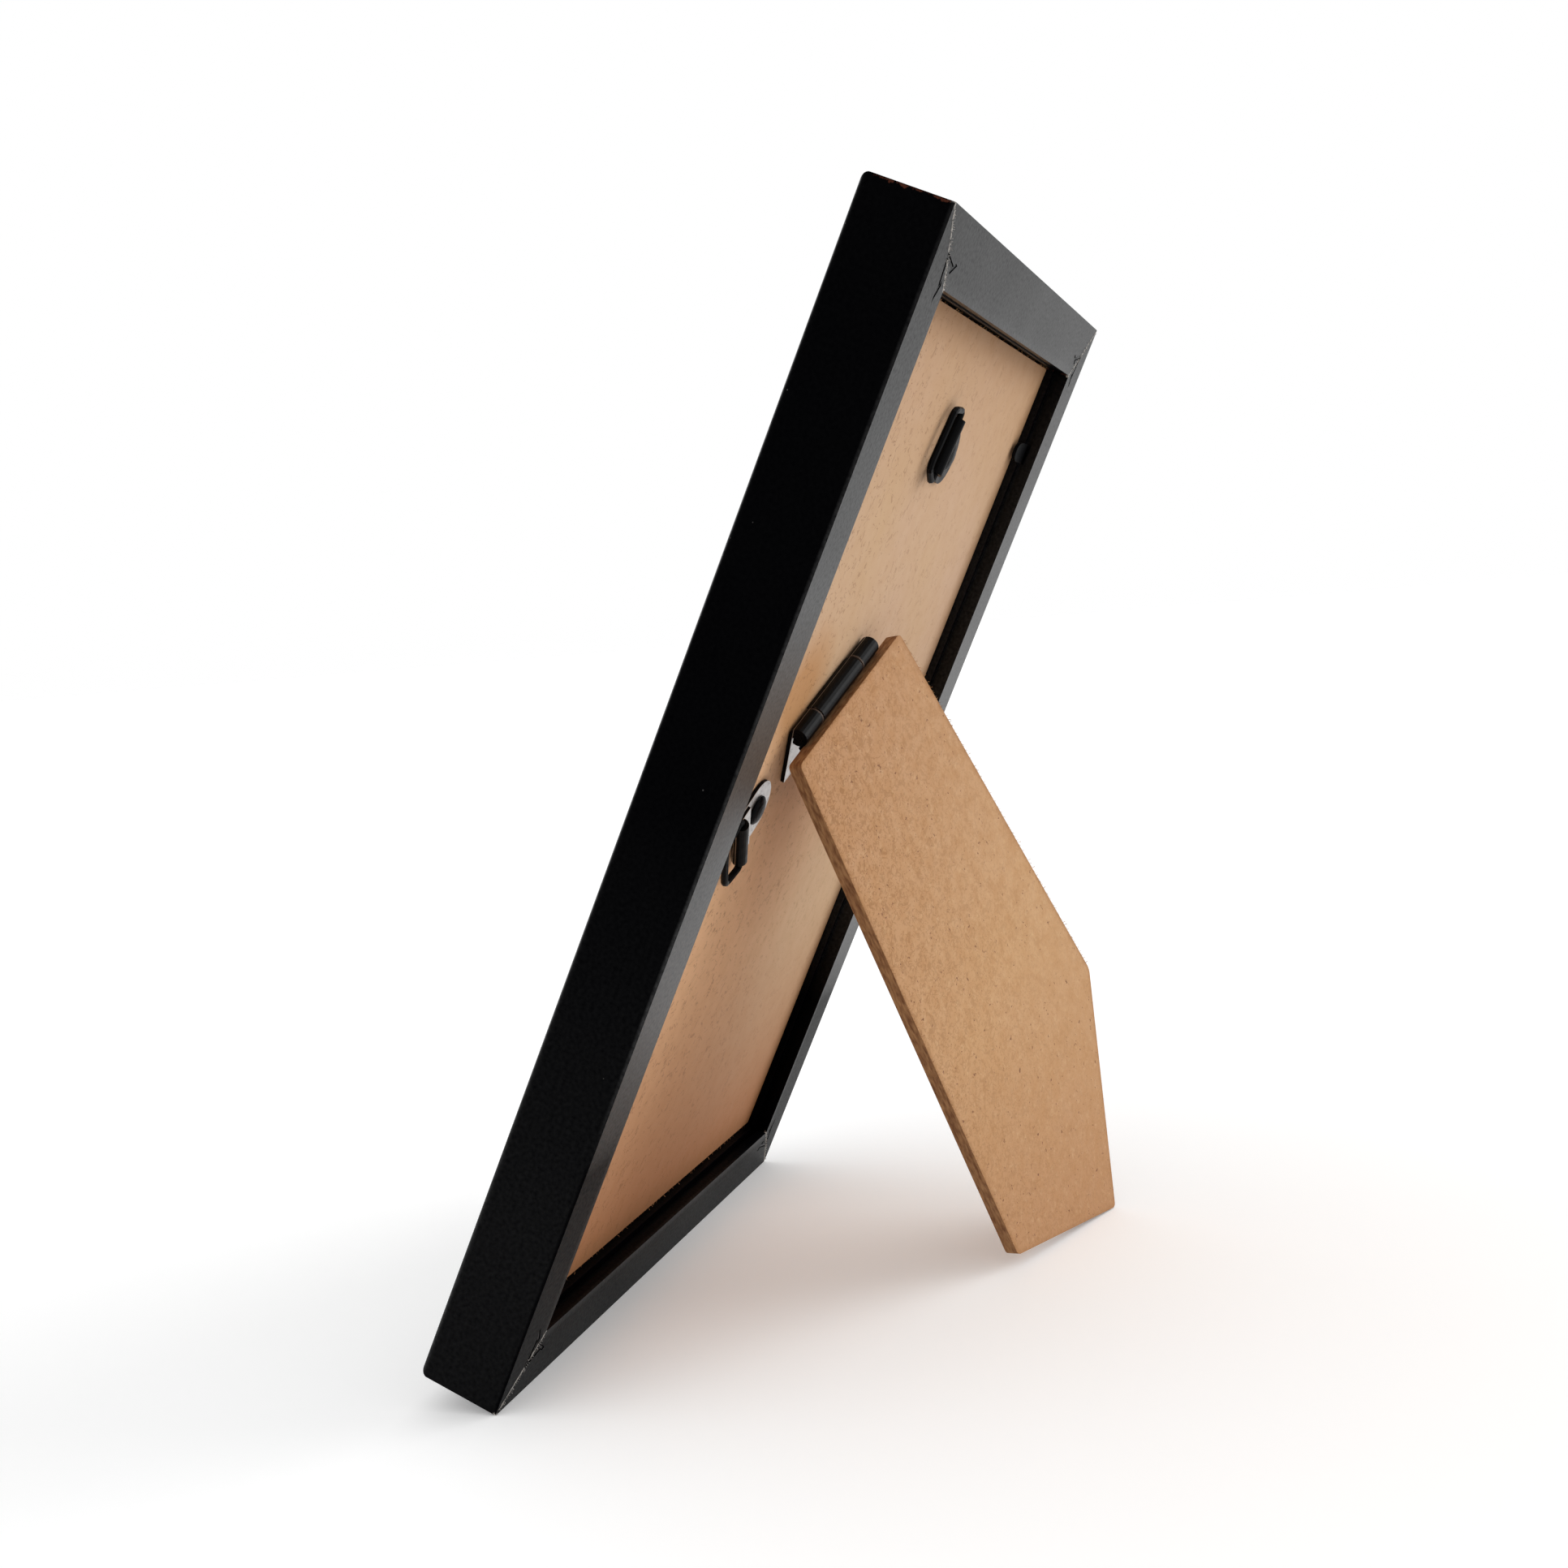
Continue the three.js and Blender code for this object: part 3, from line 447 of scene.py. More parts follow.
def leg_mdf():
    """MDF sanded on its faces and sawn round its outline: warm tan faces with soft blotches and curled fibres
    that fade from the hinge down, pale flecks and dark specks, and edges that the saw left darker, open and
    streaked along the layers."""
    blotch_size = 2.6
    cloud_size = 22
    fleck_size = 0.9
    bark_size = 0.85
    coarse_spacing = 1.9
    coarse_width = 0.3
    fine_spacing = 1.1
    fine_width = 0.2
    layer_length = 1.8
    layer_thickness = 0.45
    browner_side_start = -14.0
    browner_side_end = 22.0
    waist = -60.0
    near_hinge = -5.0
    near_foot = -112.0
    marks_end = -85.0
    marks_start = -12.0
    sparse_side = -20.0
    dense_side = 20.0
    rim_inner = 0.1
    rim_outer = -0.8
    half = LEG_THICKNESS / 2
    face_skin = 0.02
    below_face_skin = 0.12

    material, tree, mm = start_finish("sawn_tan_mdf", LEG)
    axes = add(tree, "ShaderNodeSeparateXYZ", {"Vector": mm})
    blotch = add(tree, "ShaderNodeTexNoise", {
        "Vector": mm, "Scale": 1 / blotch_size, "Detail": 3.0, "Roughness": 0.55,
    })
    cloud = add(tree, "ShaderNodeTexNoise", {"Vector": mm, "Scale": 1 / cloud_size, "Detail": 2.0})
    fleck = add(tree, "ShaderNodeTexNoise", {"Vector": mm, "Scale": 1 / fleck_size, "Detail": 2.0})
    blotched = add(tree, "ShaderNodeMapRange", {
        "Value": blotch.outputs["Fac"], "From Min": 0.4, "From Max": 0.7, "To Min": 0.0, "To Max": 0.5,
    })
    clouds = add(tree, "ShaderNodeMapRange", {
        "Value": cloud.outputs["Fac"], "From Min": 0.3, "From Max": 0.7, "To Min": 0.0, "To Max": 1.0,
    })
    flecked = add(tree, "ShaderNodeMapRange", {
        "Value": fleck.outputs["Fac"], "From Min": 0.58, "From Max": 0.76, "To Min": 0.0, "To Max": 0.24,
    })
    tan = add(tree, "ShaderNodeMix", {
        0: clouds.outputs[0], 6: linear("#c29769"), 7: linear("#c49b71"),
    }, data_type="RGBA")

    # Browner towards one side, by the hinge and at the foot
    beside = add(tree, "ShaderNodeMapRange", {
        "Value": axes.outputs["X"], "From Min": browner_side_start, "From Max": browner_side_end,
        "To Min": 0.0, "To Max": 0.25,
    })
    above = add(tree, "ShaderNodeMapRange", {
        "Value": axes.outputs["Z"], "From Min": waist, "From Max": near_hinge, "To Min": 0.0, "To Max": 0.6,
    })
    below = add(tree, "ShaderNodeMapRange", {
        "Value": axes.outputs["Z"], "From Min": waist, "From Max": near_foot, "To Min": 0.0, "To Max": 0.75,
    })
    ends = add(tree, "ShaderNodeMath", {0: above.outputs[0], 1: below.outputs[0]}, operation="MAXIMUM")
    browner_parts = add(tree, "ShaderNodeMath", {0: beside.outputs[0], 1: ends.outputs[0]}, operation="ADD")
    warm = add(tree, "ShaderNodeMix", {
        0: browner_parts.outputs[0], 6: tan.outputs[2], 7: linear("#b0815a"),
    }, data_type="RGBA")

    # Blotches, flecks, curled fibres and specks, the first and third fading from the hinge down
    opened = add(tree, "ShaderNodeMapRange", {
        "Value": axes.outputs["Z"], "From Min": marks_end, "From Max": marks_start,
        "To Min": 0.5, "To Max": 1.0,
    })
    blotches = add(tree, "ShaderNodeMath", {
        0: blotched.outputs[0], 1: opened.outputs[0],
    }, operation="MULTIPLY")
    soft = add(tree, "ShaderNodeMix", {
        0: blotches.outputs[0], 6: warm.outputs[2], 7: linear("#ae8056"),
    }, data_type="RGBA")
    pale = add(tree, "ShaderNodeMix", {
        0: flecked.outputs[0], 6: soft.outputs[2], 7: linear("#d8b58b"),
    }, data_type="RGBA")
    coarse = curled_fibres(tree, mm, coarse_spacing, coarse_width, 0.47)
    fine = curled_fibres(tree, mm, fine_spacing, fine_width, 0.44)
    fibre = add(tree, "ShaderNodeMath", {0: coarse, 1: fine}, operation="MAXIMUM")
    denser = add(tree, "ShaderNodeMapRange", {
        "Value": axes.outputs["X"], "From Min": sparse_side, "From Max": dense_side,
        "To Min": 0.18, "To Max": 0.5,
    })
    strand = add(tree, "ShaderNodeMath", {
        0: fibre.outputs[0], 1: denser.outputs[0],
    }, operation="MULTIPLY")
    strands = add(tree, "ShaderNodeMath", {
        0: strand.outputs[0], 1: opened.outputs[0],
    }, operation="MULTIPLY")
    fibred = add(tree, "ShaderNodeMix", {
        0: strands.outputs[0], 6: pale.outputs[2], 7: linear("#83592f"),
    }, data_type="RGBA")
    bark = add(tree, "ShaderNodeTexNoise", {
        "Vector": mm, "Scale": 1 / bark_size, "Detail": 3.0, "Roughness": 0.6,
    })
    speck = add(tree, "ShaderNodeMapRange", {
        "Value": bark.outputs["Fac"], "From Min": 0.665, "From Max": 0.71, "To Min": 0.0, "To Max": 0.85,
    })
    face = add(tree, "ShaderNodeMix", {
        0: speck.outputs[0], 6: fibred.outputs[2], 7: linear("#764a32"),
    }, data_type="RGBA")

    # The rim that the saw has roughened
    ragged = add(tree, "ShaderNodeMath", {
        0: fleck.outputs["Fac"], 1: -1.6, 2: inside_outline(tree, mm, LEG_OUTLINE),
    }, operation="MULTIPLY_ADD")
    rim = add(tree, "ShaderNodeMapRange", {
        "Value": ragged.outputs[0], "From Min": rim_inner, "From Max": rim_outer,
        "To Min": 0.0, "To Max": 0.7,
    })
    faces = add(tree, "ShaderNodeMix", {
        0: rim.outputs[0], 6: face.outputs[2], 7: linear("#a3754b"),
    }, data_type="RGBA")

    # The sawn edge lies between the two faces, and is streaked along them
    off_centre = add(tree, "ShaderNodeMath", {0: axes.outputs["Y"], 1: half}, operation="SUBTRACT")
    from_centre = add(tree, "ShaderNodeMath", {0: off_centre.outputs[0]}, operation="ABSOLUTE")
    sawn = add(tree, "ShaderNodeMapRange", {
        "Value": from_centre.outputs[0], "From Min": half - face_skin, "From Max": half - below_face_skin,
        "To Min": 0.0, "To Max": 1.0,
    })
    layers = add(tree, "ShaderNodeMapping", {
        "Vector": mm, "Scale": (1 / layer_length, 1 / layer_thickness, 1 / layer_length),
    })
    streak = add(tree, "ShaderNodeTexNoise", {
        "Vector": layers.outputs["Vector"], "Scale": 1.0, "Detail": 3.0,
    })
    streaks = add(tree, "ShaderNodeMapRange", {
        "Value": streak.outputs["Fac"], "From Min": 0.32, "From Max": 0.68, "To Min": 0.0, "To Max": 1.0,
    })
    edge = add(tree, "ShaderNodeMix", {
        0: streaks.outputs[0], 6: linear("#a47a52"), 7: linear("#724a2e"),
    }, data_type="RGBA")
    colour = add(tree, "ShaderNodeMix", {
        0: sawn.outputs[0], 6: faces.outputs[2], 7: edge.outputs[2],
    }, data_type="RGBA")
    rough = add(tree, "ShaderNodeMapRange", {
        "Value": blotch.outputs["Fac"], "From Min": 0.3, "From Max": 0.7, "To Min": 0.62, "To Max": 0.8,
    })
    pits = add(tree, "ShaderNodeMath", {
        0: speck.outputs[0], 1: -0.7, 2: fleck.outputs["Fac"],
    }, operation="MULTIPLY_ADD")
    relief = add(tree, "ShaderNodeMath", {
        0: sawn.outputs[0], 1: streak.outputs["Fac"], 2: pits.outputs[0],
    }, operation="MULTIPLY_ADD")
    close_finish(tree, relief.outputs[0], 0.06, {
        "Base Color": colour.outputs[2], "Roughness": rough.outputs[0],
        "IOR": 1.46, "Specular IOR Level": 0.25,
    })
    return material


def black_lacquer(name, place, gloss, worn_joints, glare_flats):
    """Sheet steel and wire dipped in black stoving lacquer: deep black with a soft gloss that ripples like
    orange peel, small chips, brown bare steel where knuckles rub, and a painted reflection on the flats,
    where bright bare steel stands in for the white glare of the lacquer seen at a grazing angle."""
    ripple_size = 1.1
    chip_size = 0.5

    material, tree, mm = start_finish(name, place)
    axes = add(tree, "ShaderNodeSeparateXYZ", {"Vector": mm})
    ripple = add(tree, "ShaderNodeTexNoise", {"Vector": mm, "Scale": 1 / ripple_size, "Detail": 2.0})
    chips = add(tree, "ShaderNodeTexNoise", {
        "Vector": mm, "Scale": 1 / chip_size, "Detail": 4.0, "Roughness": 0.7,
    })
    worn = add(tree, "ShaderNodeMapRange", {
        "Value": chips.outputs["Fac"], "From Min": 0.7, "From Max": 0.76, "To Min": 0.0, "To Max": 0.7,
    })
    if worn_joints:
        across = add(tree, "ShaderNodeMath", {0: axes.outputs["X"]}, operation="ABSOLUTE")
        off = add(tree, "ShaderNodeMath", {0: across.outputs[0], 1: KNUCKLE_JOINT}, operation="SUBTRACT")
        near = add(tree, "ShaderNodeMath", {0: off.outputs[0]}, operation="ABSOLUTE")
        ragged = add(tree, "ShaderNodeMath", {
            0: chips.outputs["Fac"], 1: -0.9, 2: near.outputs[0],
        }, operation="MULTIPLY_ADD")
        worn_knuckles_and_sheen_faces = add(tree, "ShaderNodeMapRange", {
            "Value": ragged.outputs[0], "From Min": -0.1, "From Max": -0.3, "To Min": 0.0, "To Max": 1.0,
        })
        worn = add(tree, "ShaderNodeMath", {0: worn.outputs[0], 1: worn_knuckles_and_sheen_faces.outputs[0]}, operation="MAXIMUM")
    lacquer = add(tree, "ShaderNodeMix", {
        0: worn.outputs[0], 6: linear("#040405"), 7: linear("#4d4038"),
    }, data_type="RGBA")

    # Painted reflection: bright bare steel on the flats, broken by scuffs, stands in for the glare of the
    # lacquer seen at a grazing angle
    scuff = add(tree, "ShaderNodeMapRange", {
        "Value": chips.outputs["Fac"], "From Min": 0.68, "From Max": 0.58, "To Min": 0.0, "To Max": 1.0,
    })
    glare_flat_mask = 0.0
    for height in glare_flats:
        level = add(tree, "ShaderNodeMath", {
            0: axes.outputs["Y"], 1: height, 2: FLAT_TOLERANCE,
        }, operation="COMPARE")
        glare_flat_mask = add(tree, "ShaderNodeMath", {0: level.outputs[0], 1: glare_flat_mask}, operation="MAXIMUM").outputs[0]
    painted_glare = add(tree, "ShaderNodeMath", {0: scuff.outputs[0], 1: glare_flat_mask}, operation="MULTIPLY")
    colour = add(tree, "ShaderNodeMix", {
        0: painted_glare.outputs[0], 6: lacquer.outputs[2], 7: linear("#aeaaa7"),
    }, data_type="RGBA")
    rough = add(tree, "ShaderNodeMapRange", {
        "Value": ripple.outputs["Fac"], "From Min": 0.3, "From Max": 0.7, "To Min": 0.28, "To Max": 0.4,
    })
    relief = add(tree, "ShaderNodeMath", {
        0: worn.outputs[0], 1: -0.5, 2: ripple.outputs["Fac"],
    }, operation="MULTIPLY_ADD")
    close_finish(tree, relief.outputs[0], 0.02, {
        "Base Color": colour.outputs[2], "Roughness": rough.outputs[0], "Metallic": painted_glare.outputs[0],
        "IOR": 1.5, "Specular IOR Level": gloss,
    })
    return material


def blued_strip():
    """Cold-rolled steel strip, blued by heat: a dark metal with fine lines along the rolling, duller smears
    and brown spots where the blueing has gone."""
    line_length = 3.0
    # Real rolling lines are some hundredths of a millimetre apart, and are drawn coarser so that they show
    line_width = 0.35
    smear_size = 1.4

    material, tree, mm = start_finish("blued_rolled_steel_strip", UPRIGHT)
    rolled = add(tree, "ShaderNodeMapping", {
        "Vector": mm, "Scale": (1 / line_length, 1 / line_width, 1 / line_width),
    })
    line = add(tree, "ShaderNodeTexNoise", {
        "Vector": rolled.outputs["Vector"], "Scale": 1.0, "Detail": 3.0,
    })
    smear = add(tree, "ShaderNodeTexNoise", {"Vector": mm, "Scale": 1 / smear_size, "Detail": 3.0})
    spots = add(tree, "ShaderNodeMapRange", {
        "Value": smear.outputs["Fac"], "From Min": 0.6, "From Max": 0.72, "To Min": 0.0, "To Max": 0.7,
    })
    blue = add(tree, "ShaderNodeMix", {
        0: line.outputs["Fac"], 6: linear("#08090a"), 7: linear("#111113"),
    }, data_type="RGBA")
    colour = add(tree, "ShaderNodeMix", {
        0: spots.outputs[0], 6: blue.outputs[2], 7: linear("#2e2520"),
    }, data_type="RGBA")
    rough = add(tree, "ShaderNodeMapRange", {
        "Value": smear.outputs["Fac"], "From Min": 0.3, "From Max": 0.7, "To Min": 0.42, "To Max": 0.58,
    })
    close_finish(tree, line.outputs["Fac"], 0.012, {
        "Base Color": colour.outputs[2], "Roughness": rough.outputs[0], "Metallic": 1.0,
    })
    return material


def float_glass():
    """Float glass, fire-polished: clear and mirror smooth with a very slow waviness and a trace of finger
    smears that only dull the gloss."""
    wave_size = 45
    smear_size = 16

    material, tree, mm = start_finish("clear_float_glass", UPRIGHT)
    wave = add(tree, "ShaderNodeTexNoise", {"Vector": mm, "Scale": 1 / wave_size, "Detail": 1.0})
    smear = add(tree, "ShaderNodeTexNoise", {
        "Vector": mm, "Scale": 1 / smear_size, "Detail": 4.0, "Distortion": 0.8,
    })
    rough = add(tree, "ShaderNodeMapRange", {
        "Value": smear.outputs["Fac"], "From Min": 0.5, "From Max": 0.75, "To Min": 0.01, "To Max": 0.06,
    })
    close_finish(tree, wave.outputs["Fac"], 0.004, {
        "Base Color": linear("#fdfefd"), "Roughness": rough.outputs[0],
        "IOR": 1.52, "Transmission Weight": 1.0,
    })
    return material


def blank_paper():
    """Uncoated paper, calendered: a warm matte white with a soft cloudiness in the sheet and felt marks."""
    cloud_size = 5.0
    # The sheet's real tooth is finer than this, and is drawn coarser so that it shows
    felt_size = 0.6

    material, tree, mm = start_finish("uncoated_white_paper", UPRIGHT)
    cloud = add(tree, "ShaderNodeTexNoise", {"Vector": mm, "Scale": 1 / cloud_size, "Detail": 3.0})
    felt = add(tree, "ShaderNodeTexNoise", {"Vector": mm, "Scale": 1 / felt_size, "Detail": 3.0})
    colour = add(tree, "ShaderNodeMix", {
        0: cloud.outputs["Fac"], 6: linear("#f1eee7"), 7: linear("#e7e3da"),
    }, data_type="RGBA")
    rough = add(tree, "ShaderNodeMapRange", {
        "Value": felt.outputs["Fac"], "From Min": 0.3, "From Max": 0.7, "To Min": 0.82, "To Max": 0.94,
    })
    close_finish(tree, felt.outputs["Fac"], 0.012, {
        "Base Color": colour.outputs[2], "Roughness": rough.outputs[0],
        "IOR": 1.46, "Specular IOR Level": 0.3,
    })
    return material


def torn_fibre(name, place, pale, dark):
    """Loose wood fibre torn out by a saw: matte, thin and uneven, from pale to darker along each strand."""
    tone_size = 0.6

    material, tree, mm = start_finish(name, place)
    tone = add(tree, "ShaderNodeTexNoise", {"Vector": mm, "Scale": 1 / tone_size, "Detail": 2.0})
    tones = add(tree, "ShaderNodeMapRange", {
        "Value": tone.outputs["Fac"], "From Min": 0.35, "From Max": 0.65, "To Min": 0.0, "To Max": 1.0,
    })
    colour = add(tree, "ShaderNodeMix", {
        0: tones.outputs[0], 6: linear(pale), 7: linear(dark),
    }, data_type="RGBA")
    rough = add(tree, "ShaderNodeMapRange", {
        "Value": tone.outputs["Fac"], "From Min": 0.3, "From Max": 0.7, "To Min": 0.75, "To Max": 0.95,
    })
    close_finish(tree, tone.outputs["Fac"], 0.02, {
        "Base Color": colour.outputs[2], "Roughness": rough.outputs[0],
        "IOR": 1.46, "Specular IOR Level": 0.2,
    })
    return material


# Every piece of the frame gets the first finish whose beginning its name has
strip = blued_strip()
FINISHES = {
    "rail_": black_foil(),
    "back_board": back_hardboard(),
    "stand_leg": leg_mdf(),
    "hanger_side_strap": black_lacquer("lacquered_strap_steel_painted_glare", UPRIGHT, 0.04, False, STRAP_FLATS),
    "hanger_": black_lacquer("black_lacquered_hanger_steel", UPRIGHT, 0.04, False, []),
    "hinge_": black_lacquer("black_lacquered_hinge_steel", HINGE, 0.065, True, [HINGE_FLAT]),
    "v_nail_": strip,
    "retaining_tab_": strip,
    "glass_pane": float_glass(),
    "insert_sheet": blank_paper(),
}
for name, piece in nodes.items():
    finish = next(FINISHES[start] for start in FINISHES if name.startswith(start))
    piece.data.materials.clear()
    piece.data.materials.append(finish)


def fibre_tree():
    """Geometry Nodes: strands of torn fibre strewn along the saw cuts that the mesh's edges draw."""
    crook_share = 0.35
    most_lean = 0.9
    most_turn = 3.14
    shortest_share = 0.35

    tree = bpy.data.node_groups.new("torn_fibre_along_cuts", "GeometryNodeTree")
    for name, kind in (
        ("Cuts", "NodeSocketGeometry"),
        ("Spacing", "NodeSocketFloat"),
        ("Strand Length", "NodeSocketFloat"),
        ("Strand Radius", "NodeSocketFloat"),
        ("Scatter", "NodeSocketFloat"),
        ("Lie Along", "NodeSocketVector"),
        ("Seed", "NodeSocketInt"),
        ("Finish", "NodeSocketMaterial"),
    ):
        tree.interface.new_socket(name, in_out="INPUT", socket_type=kind)
    tree.interface.new_socket("Strands", in_out="OUTPUT", socket_type="NodeSocketGeometry")
    given = add(tree, "NodeGroupInput", {}).outputs
    cuts = add(tree, "GeometryNodeMeshToCurve", {"Mesh": given["Cuts"]})
    points = add(tree, "GeometryNodeCurveToPoints", {
        "Curve": cuts.outputs["Curve"], "Length": given["Spacing"],
    }, mode="LENGTH")
    stray = add(tree, "FunctionNodeRandomValue", {
        0: (-1.0, -1.0, -1.0), 1: (1.0, 1.0, 1.0), "Seed": given["Seed"],
    }, data_type="FLOAT_VECTOR")
    shift = add(tree, "ShaderNodeVectorMath", {
        0: stray.outputs[0], "Scale": given["Scatter"],
    }, operation="SCALE")
    strewn = add(tree, "GeometryNodeSetPosition", {
        "Geometry": points.outputs["Points"], "Offset": shift.outputs[0],
    })

    # One strand: a short bent wire with three sides
    reach = add(tree, "ShaderNodeCombineXYZ", {"Z": given["Strand Length"]})
    crook = add(tree, "ShaderNodeMath", {0: given["Strand Length"], 1: crook_share}, operation="MULTIPLY")
    middle = add(tree, "ShaderNodeMath", {0: given["Strand Length"], 1: 0.5}, operation="MULTIPLY")
    bent = add(tree, "ShaderNodeCombineXYZ", {"X": crook.outputs[0], "Z": middle.outputs[0]})
    line = add(tree, "GeometryNodeCurveQuadraticBezier", {
        "Resolution": 3, "Start": (0.0, 0.0, 0.0), "Middle": bent.outputs[0], "End": reach.outputs[0],
    })
    round_wire = add(tree, "GeometryNodeCurvePrimitiveCircle", {
        "Resolution": 3, "Radius": given["Strand Radius"],
    })
    wire = add(tree, "GeometryNodeCurveToMesh", {
        "Curve": line.outputs["Curve"], "Profile Curve": round_wire.outputs["Curve"], "Fill Caps": True,
    })

    # Strands lie every way round about one direction, some long and some short
    twist = add(tree, "FunctionNodeRandomValue", {
        0: (-most_lean, -most_lean, -most_turn), 1: (most_lean, most_lean, most_turn), "Seed": given["Seed"],
    }, data_type="FLOAT_VECTOR")
    lie = add(tree, "FunctionNodeAlignRotationToVector", {"Vector": given["Lie Along"]}, axis="Z")
    turned = add(tree, "FunctionNodeRotateRotation", {
        "Rotation": lie.outputs["Rotation"], "Rotate By": twist.outputs[0],
    }, rotation_space="LOCAL")
    size = add(tree, "FunctionNodeRandomValue", {
        2: shortest_share, 3: 1.0, "Seed": given["Seed"],
    }, data_type="FLOAT")
    strands = add(tree, "GeometryNodeInstanceOnPoints", {
        "Points": strewn.outputs["Geometry"], "Instance": wire.outputs["Mesh"],
        "Rotation": turned.outputs["Rotation"], "Scale": size.outputs[1],
    })
    real = add(tree, "GeometryNodeRealizeInstances", {"Geometry": strands.outputs["Instances"]})
    coated = add(tree, "GeometryNodeSetMaterial", {
        "Geometry": real.outputs["Geometry"], "Material": given["Finish"],
    })
    add(tree, "NodeGroupOutput", {"Strands": coated.outputs["Geometry"]})
    return tree


def strew(name, cuts, place, settings, body):
    """Torn fibre along some cuts, each a pair of points in millimetres, as one plain mesh on one body."""
    points = [place @ Vector(point) for cut in cuts for point in cut]
    mesh = bpy.data.meshes.new(name + "_cuts")
    mesh.from_pydata(points, [(i, i + 1) for i in range(0, len(points), 2)], [])
    lines = bpy.data.objects.new(name + "_lines", mesh)
    bpy.context.scene.collection.objects.link(lines)
    modifier = lines.modifiers.new("torn_fibre", "NODES")
    modifier.node_group = fibres
    for socket in fibres.interface.items_tree:
        if socket.name in settings:
            modifier[socket.identifier] = settings[socket.name]
    seen = lines.evaluated_get(bpy.context.evaluated_depsgraph_get())
    plain = bpy.data.meshes.new_from_object(seen)
    lines.modifiers.remove(modifier)
    bpy.data.objects.remove(lines)
    bpy.data.meshes.remove(mesh)
    piece = bpy.data.objects.new(name, plain)
    plain.name = name
    bpy.context.scene.collection.objects.link(piece)
    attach(piece, body)


# Torn strands: real ones are thinner, and these have the radius that it takes for them to show
fibres = fibre_tree()
seam_fibre = torn_fibre("torn_mitre_fibre", UPRIGHT, "#c9c5bf", "#8c8680")
board_fibre = torn_fibre("torn_hardboard_fibre", UPRIGHT, "#c79a6e", "#8a5f3d")
leg_fibre = torn_fibre("torn_mdf_fibre", LEG, "#cfa57a", "#9b6e46")

# The four mitres on the back of the rails, each between two distances in from the outer edges
MITRE_START = 0.8
MITRE_END = 9.2
mitres = []
for side in (-1, 1):
    for end in (-1, 1):
        mitres.append([
            (side * (HALF_WIDTH - inset), 0.0, HALF_HEIGHT + end * (HALF_HEIGHT - inset))
            for inset in (MITRE_START, MITRE_END)
        ])
strew("mitre_fibres", mitres, UPRIGHT, {
    "Spacing": 0.26 * MM, "Strand Length": 0.42 * MM, "Strand Radius": 0.04 * MM, "Scatter": 0.12 * MM,
    "Lie Along": UPRIGHT.to_3x3() @ Vector((0, 1, 0)), "Seed": 4, "Finish": seam_fibre,
}, "frame")

# The top and bottom edges of the back board, at its back face
CORNER_MARGIN = 1
EDGE_INSET = 0.05
wide = BOARD_HALF_WIDTH - CORNER_MARGIN
for name, sign, seed in (("board_top_fibres", 1, 11), ("board_bottom_fibres", -1, 12)):
    height = HALF_HEIGHT + sign * (BOARD_HALF_HEIGHT - EDGE_INSET)
    strew(name, [((-wide, -BOARD_RECESS, height), (wide, -BOARD_RECESS, height))], UPRIGHT, {
        "Spacing": 1.4 * MM, "Strand Length": 0.55 * MM, "Strand Radius": 0.05 * MM, "Scatter": 0.15 * MM,
        "Lie Along": UPRIGHT.to_3x3() @ Vector((0, 0.5, 0.9 * sign)), "Seed": seed, "Finish": board_fibre,
    }, "frame")

# The sawn edges of the leg, round its outer face but not along the two feet that it stands on
CORNER_SHARE = 0.02
corners = [Vector((x, LEG_THICKNESS, z)) for x, z in LEG_OUTLINE]
sawn = []
for first, second in ((0, 1), (3, 4), (4, 0)):
    run = corners[second] - corners[first]
    sawn.append((corners[first] + CORNER_SHARE * run, corners[first] + (1 - CORNER_SHARE) * run))
strew("leg_fibres", sawn, LEG, {
    "Spacing": 0.6 * MM, "Strand Length": 0.5 * MM, "Strand Radius": 0.05 * MM, "Scatter": 0.12 * MM,
    "Lie Along": LEG.to_3x3() @ Vector((0, 1, 0)), "Seed": 7, "Finish": leg_fibre,
}, "leg")

# Studio: the camera of the photograph, in millimetres along the upright frame's directions
CAMERA_PLACE = (290.8, 62.906, 148.999)
CAMERA_AIM = (0.0, -9.068, 85.745)
CAMERA_ROLL = -4.717
CAMERA_LENS = 43.46
camera_data = bpy.data.cameras.new("camera")
camera_data.lens = CAMERA_LENS
camera_data.sensor_width = 36.0
camera_data.clip_start = 0.01
camera = bpy.data.objects.new("camera", camera_data)
eye = UPRIGHT @ Vector(CAMERA_PLACE)
toward_eye = eye - UPRIGHT @ Vector(CAMERA_AIM)
level = toward_eye.to_track_quat("Z", "Y").to_matrix().to_4x4()
roll = Matrix.Rotation(math.radians(CAMERA_ROLL), 4, "Z")
camera.matrix_world = Matrix.Translation(eye) @ level @ roll
bpy.context.scene.collection.objects.link(camera)
bpy.context.scene.camera = camera


def soft_lamp(name, toward, strength, spread):
    """A broad even lamp that shines from one direction, as wide as its spread in degrees."""
    data = bpy.data.lights.new(name, "SUN")
    data.energy = strength
    data.angle = math.radians(spread)
    lamp = bpy.data.objects.new(name, data)
    lamp.rotation_euler = Vector(toward).to_track_quat("Z", "Y").to_euler()
    bpy.context.scene.collection.objects.link(lamp)


soft_lamp("side_softbox", toward=(-0.5, 0.82, 0.28), strength=1.5, spread=48)
soft_lamp("overhead_softbox", toward=(0.1, -0.3, 0.95), strength=0.9, spread=140)


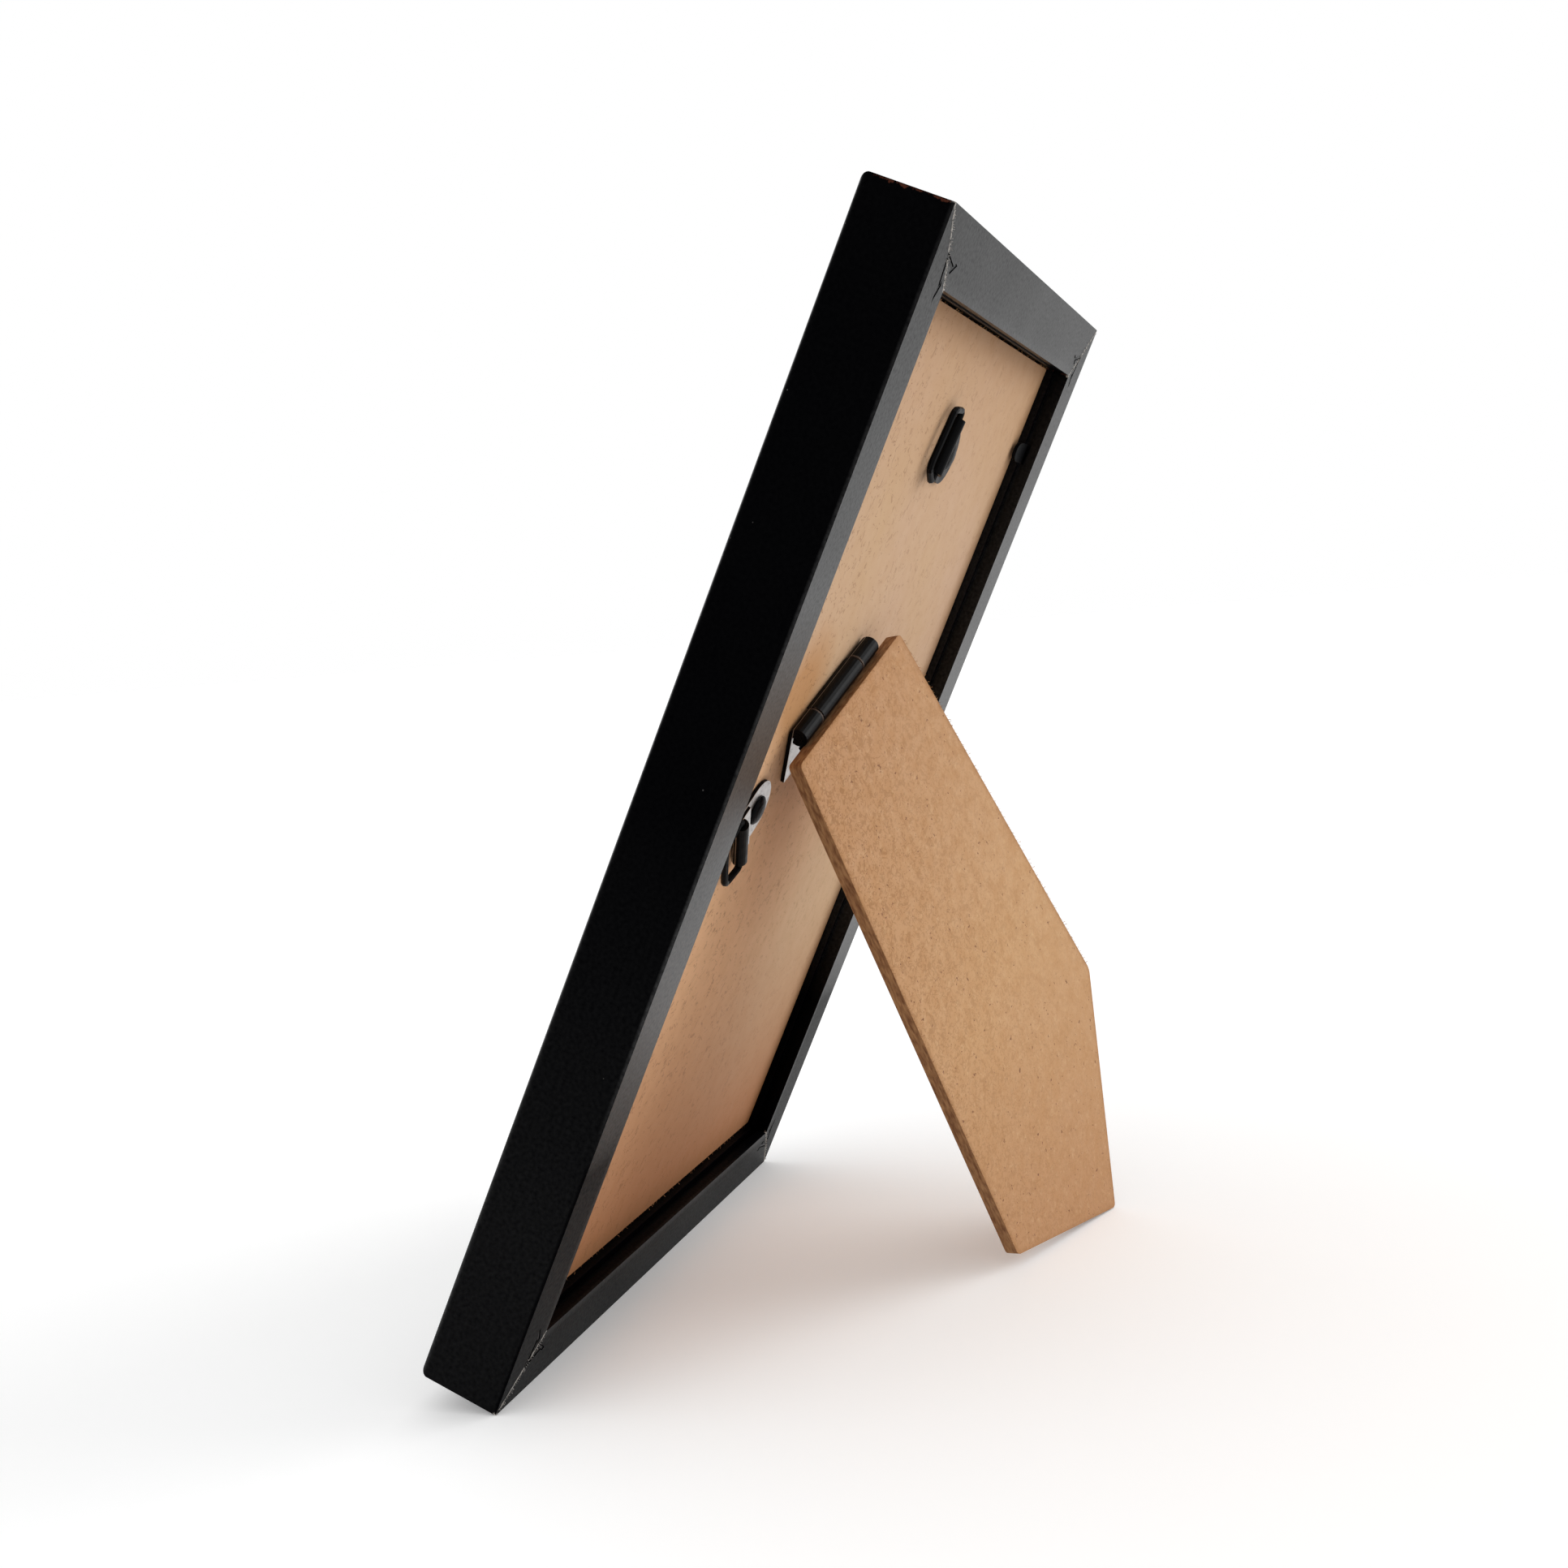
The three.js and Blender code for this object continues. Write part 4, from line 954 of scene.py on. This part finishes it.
def seen_directly(tree):
    """One where the camera, a reflection or a view through glass looks at the background."""
    path = add(tree, "ShaderNodeLightPath", {}).outputs
    mirrored = add(tree, "ShaderNodeMath", {
        0: path["Is Camera Ray"], 1: path["Is Glossy Ray"],
    }, operation="MAXIMUM")
    seen = add(tree, "ShaderNodeMath", {
        0: mirrored.outputs[0], 1: path["Is Transmission Ray"],
    }, operation="MAXIMUM")
    return seen.outputs[0]


# White all round for the eye, the metal and the glass, and a plain level for the light itself
PLAIN_LIGHT = 0.6
world = bpy.data.worlds.new("white_studio")
world.use_nodes = True
world.node_tree.nodes.clear()
bpy.context.scene.world = world
white = add(world.node_tree, "ShaderNodeMapRange", {
    "Value": seen_directly(world.node_tree), "To Min": PLAIN_LIGHT, "To Max": 1.0,
})
sky = add(world.node_tree, "ShaderNodeBackground", {
    "Color": linear("#ffffff"), "Strength": white.outputs[0],
})
add(world.node_tree, "ShaderNodeOutputWorld", {"Surface": sky.outputs[0]})

# Floor: a pale sweep that keeps the shadow
FLOOR_HALF = 30
FLOOR_LIFT = 0.16
floor_corners = [(x * FLOOR_HALF, y * FLOOR_HALF, 0) for x, y in ((-1, -1), (1, -1), (1, 1), (-1, 1))]
floor_mesh = bpy.data.meshes.new("floor")
floor_mesh.from_pydata(floor_corners, [], [(0, 1, 2, 3)])
floor = bpy.data.objects.new("floor", floor_mesh)
bpy.context.scene.collection.objects.link(floor)
sweep = bpy.data.materials.new("white_paper_sweep")
sweep.use_nodes = True
sweep.node_tree.nodes.clear()
lift = add(sweep.node_tree, "ShaderNodeMapRange", {
    "Value": seen_directly(sweep.node_tree), "To Min": 0.0, "To Max": FLOOR_LIFT,
})
paper_sweep = add(sweep.node_tree, "ShaderNodeBsdfPrincipled", {
    "Base Color": linear("#f6f6f6"), "Roughness": 0.9, "Specular IOR Level": 0.1,
    "Emission Color": linear("#ffffff"), "Emission Strength": lift.outputs[0],
})
add(sweep.node_tree, "ShaderNodeOutputMaterial", {"Surface": paper_sweep.outputs["BSDF"]})
floor_mesh.materials.append(sweep)

bpy.context.scene.view_settings.view_transform = "Standard"
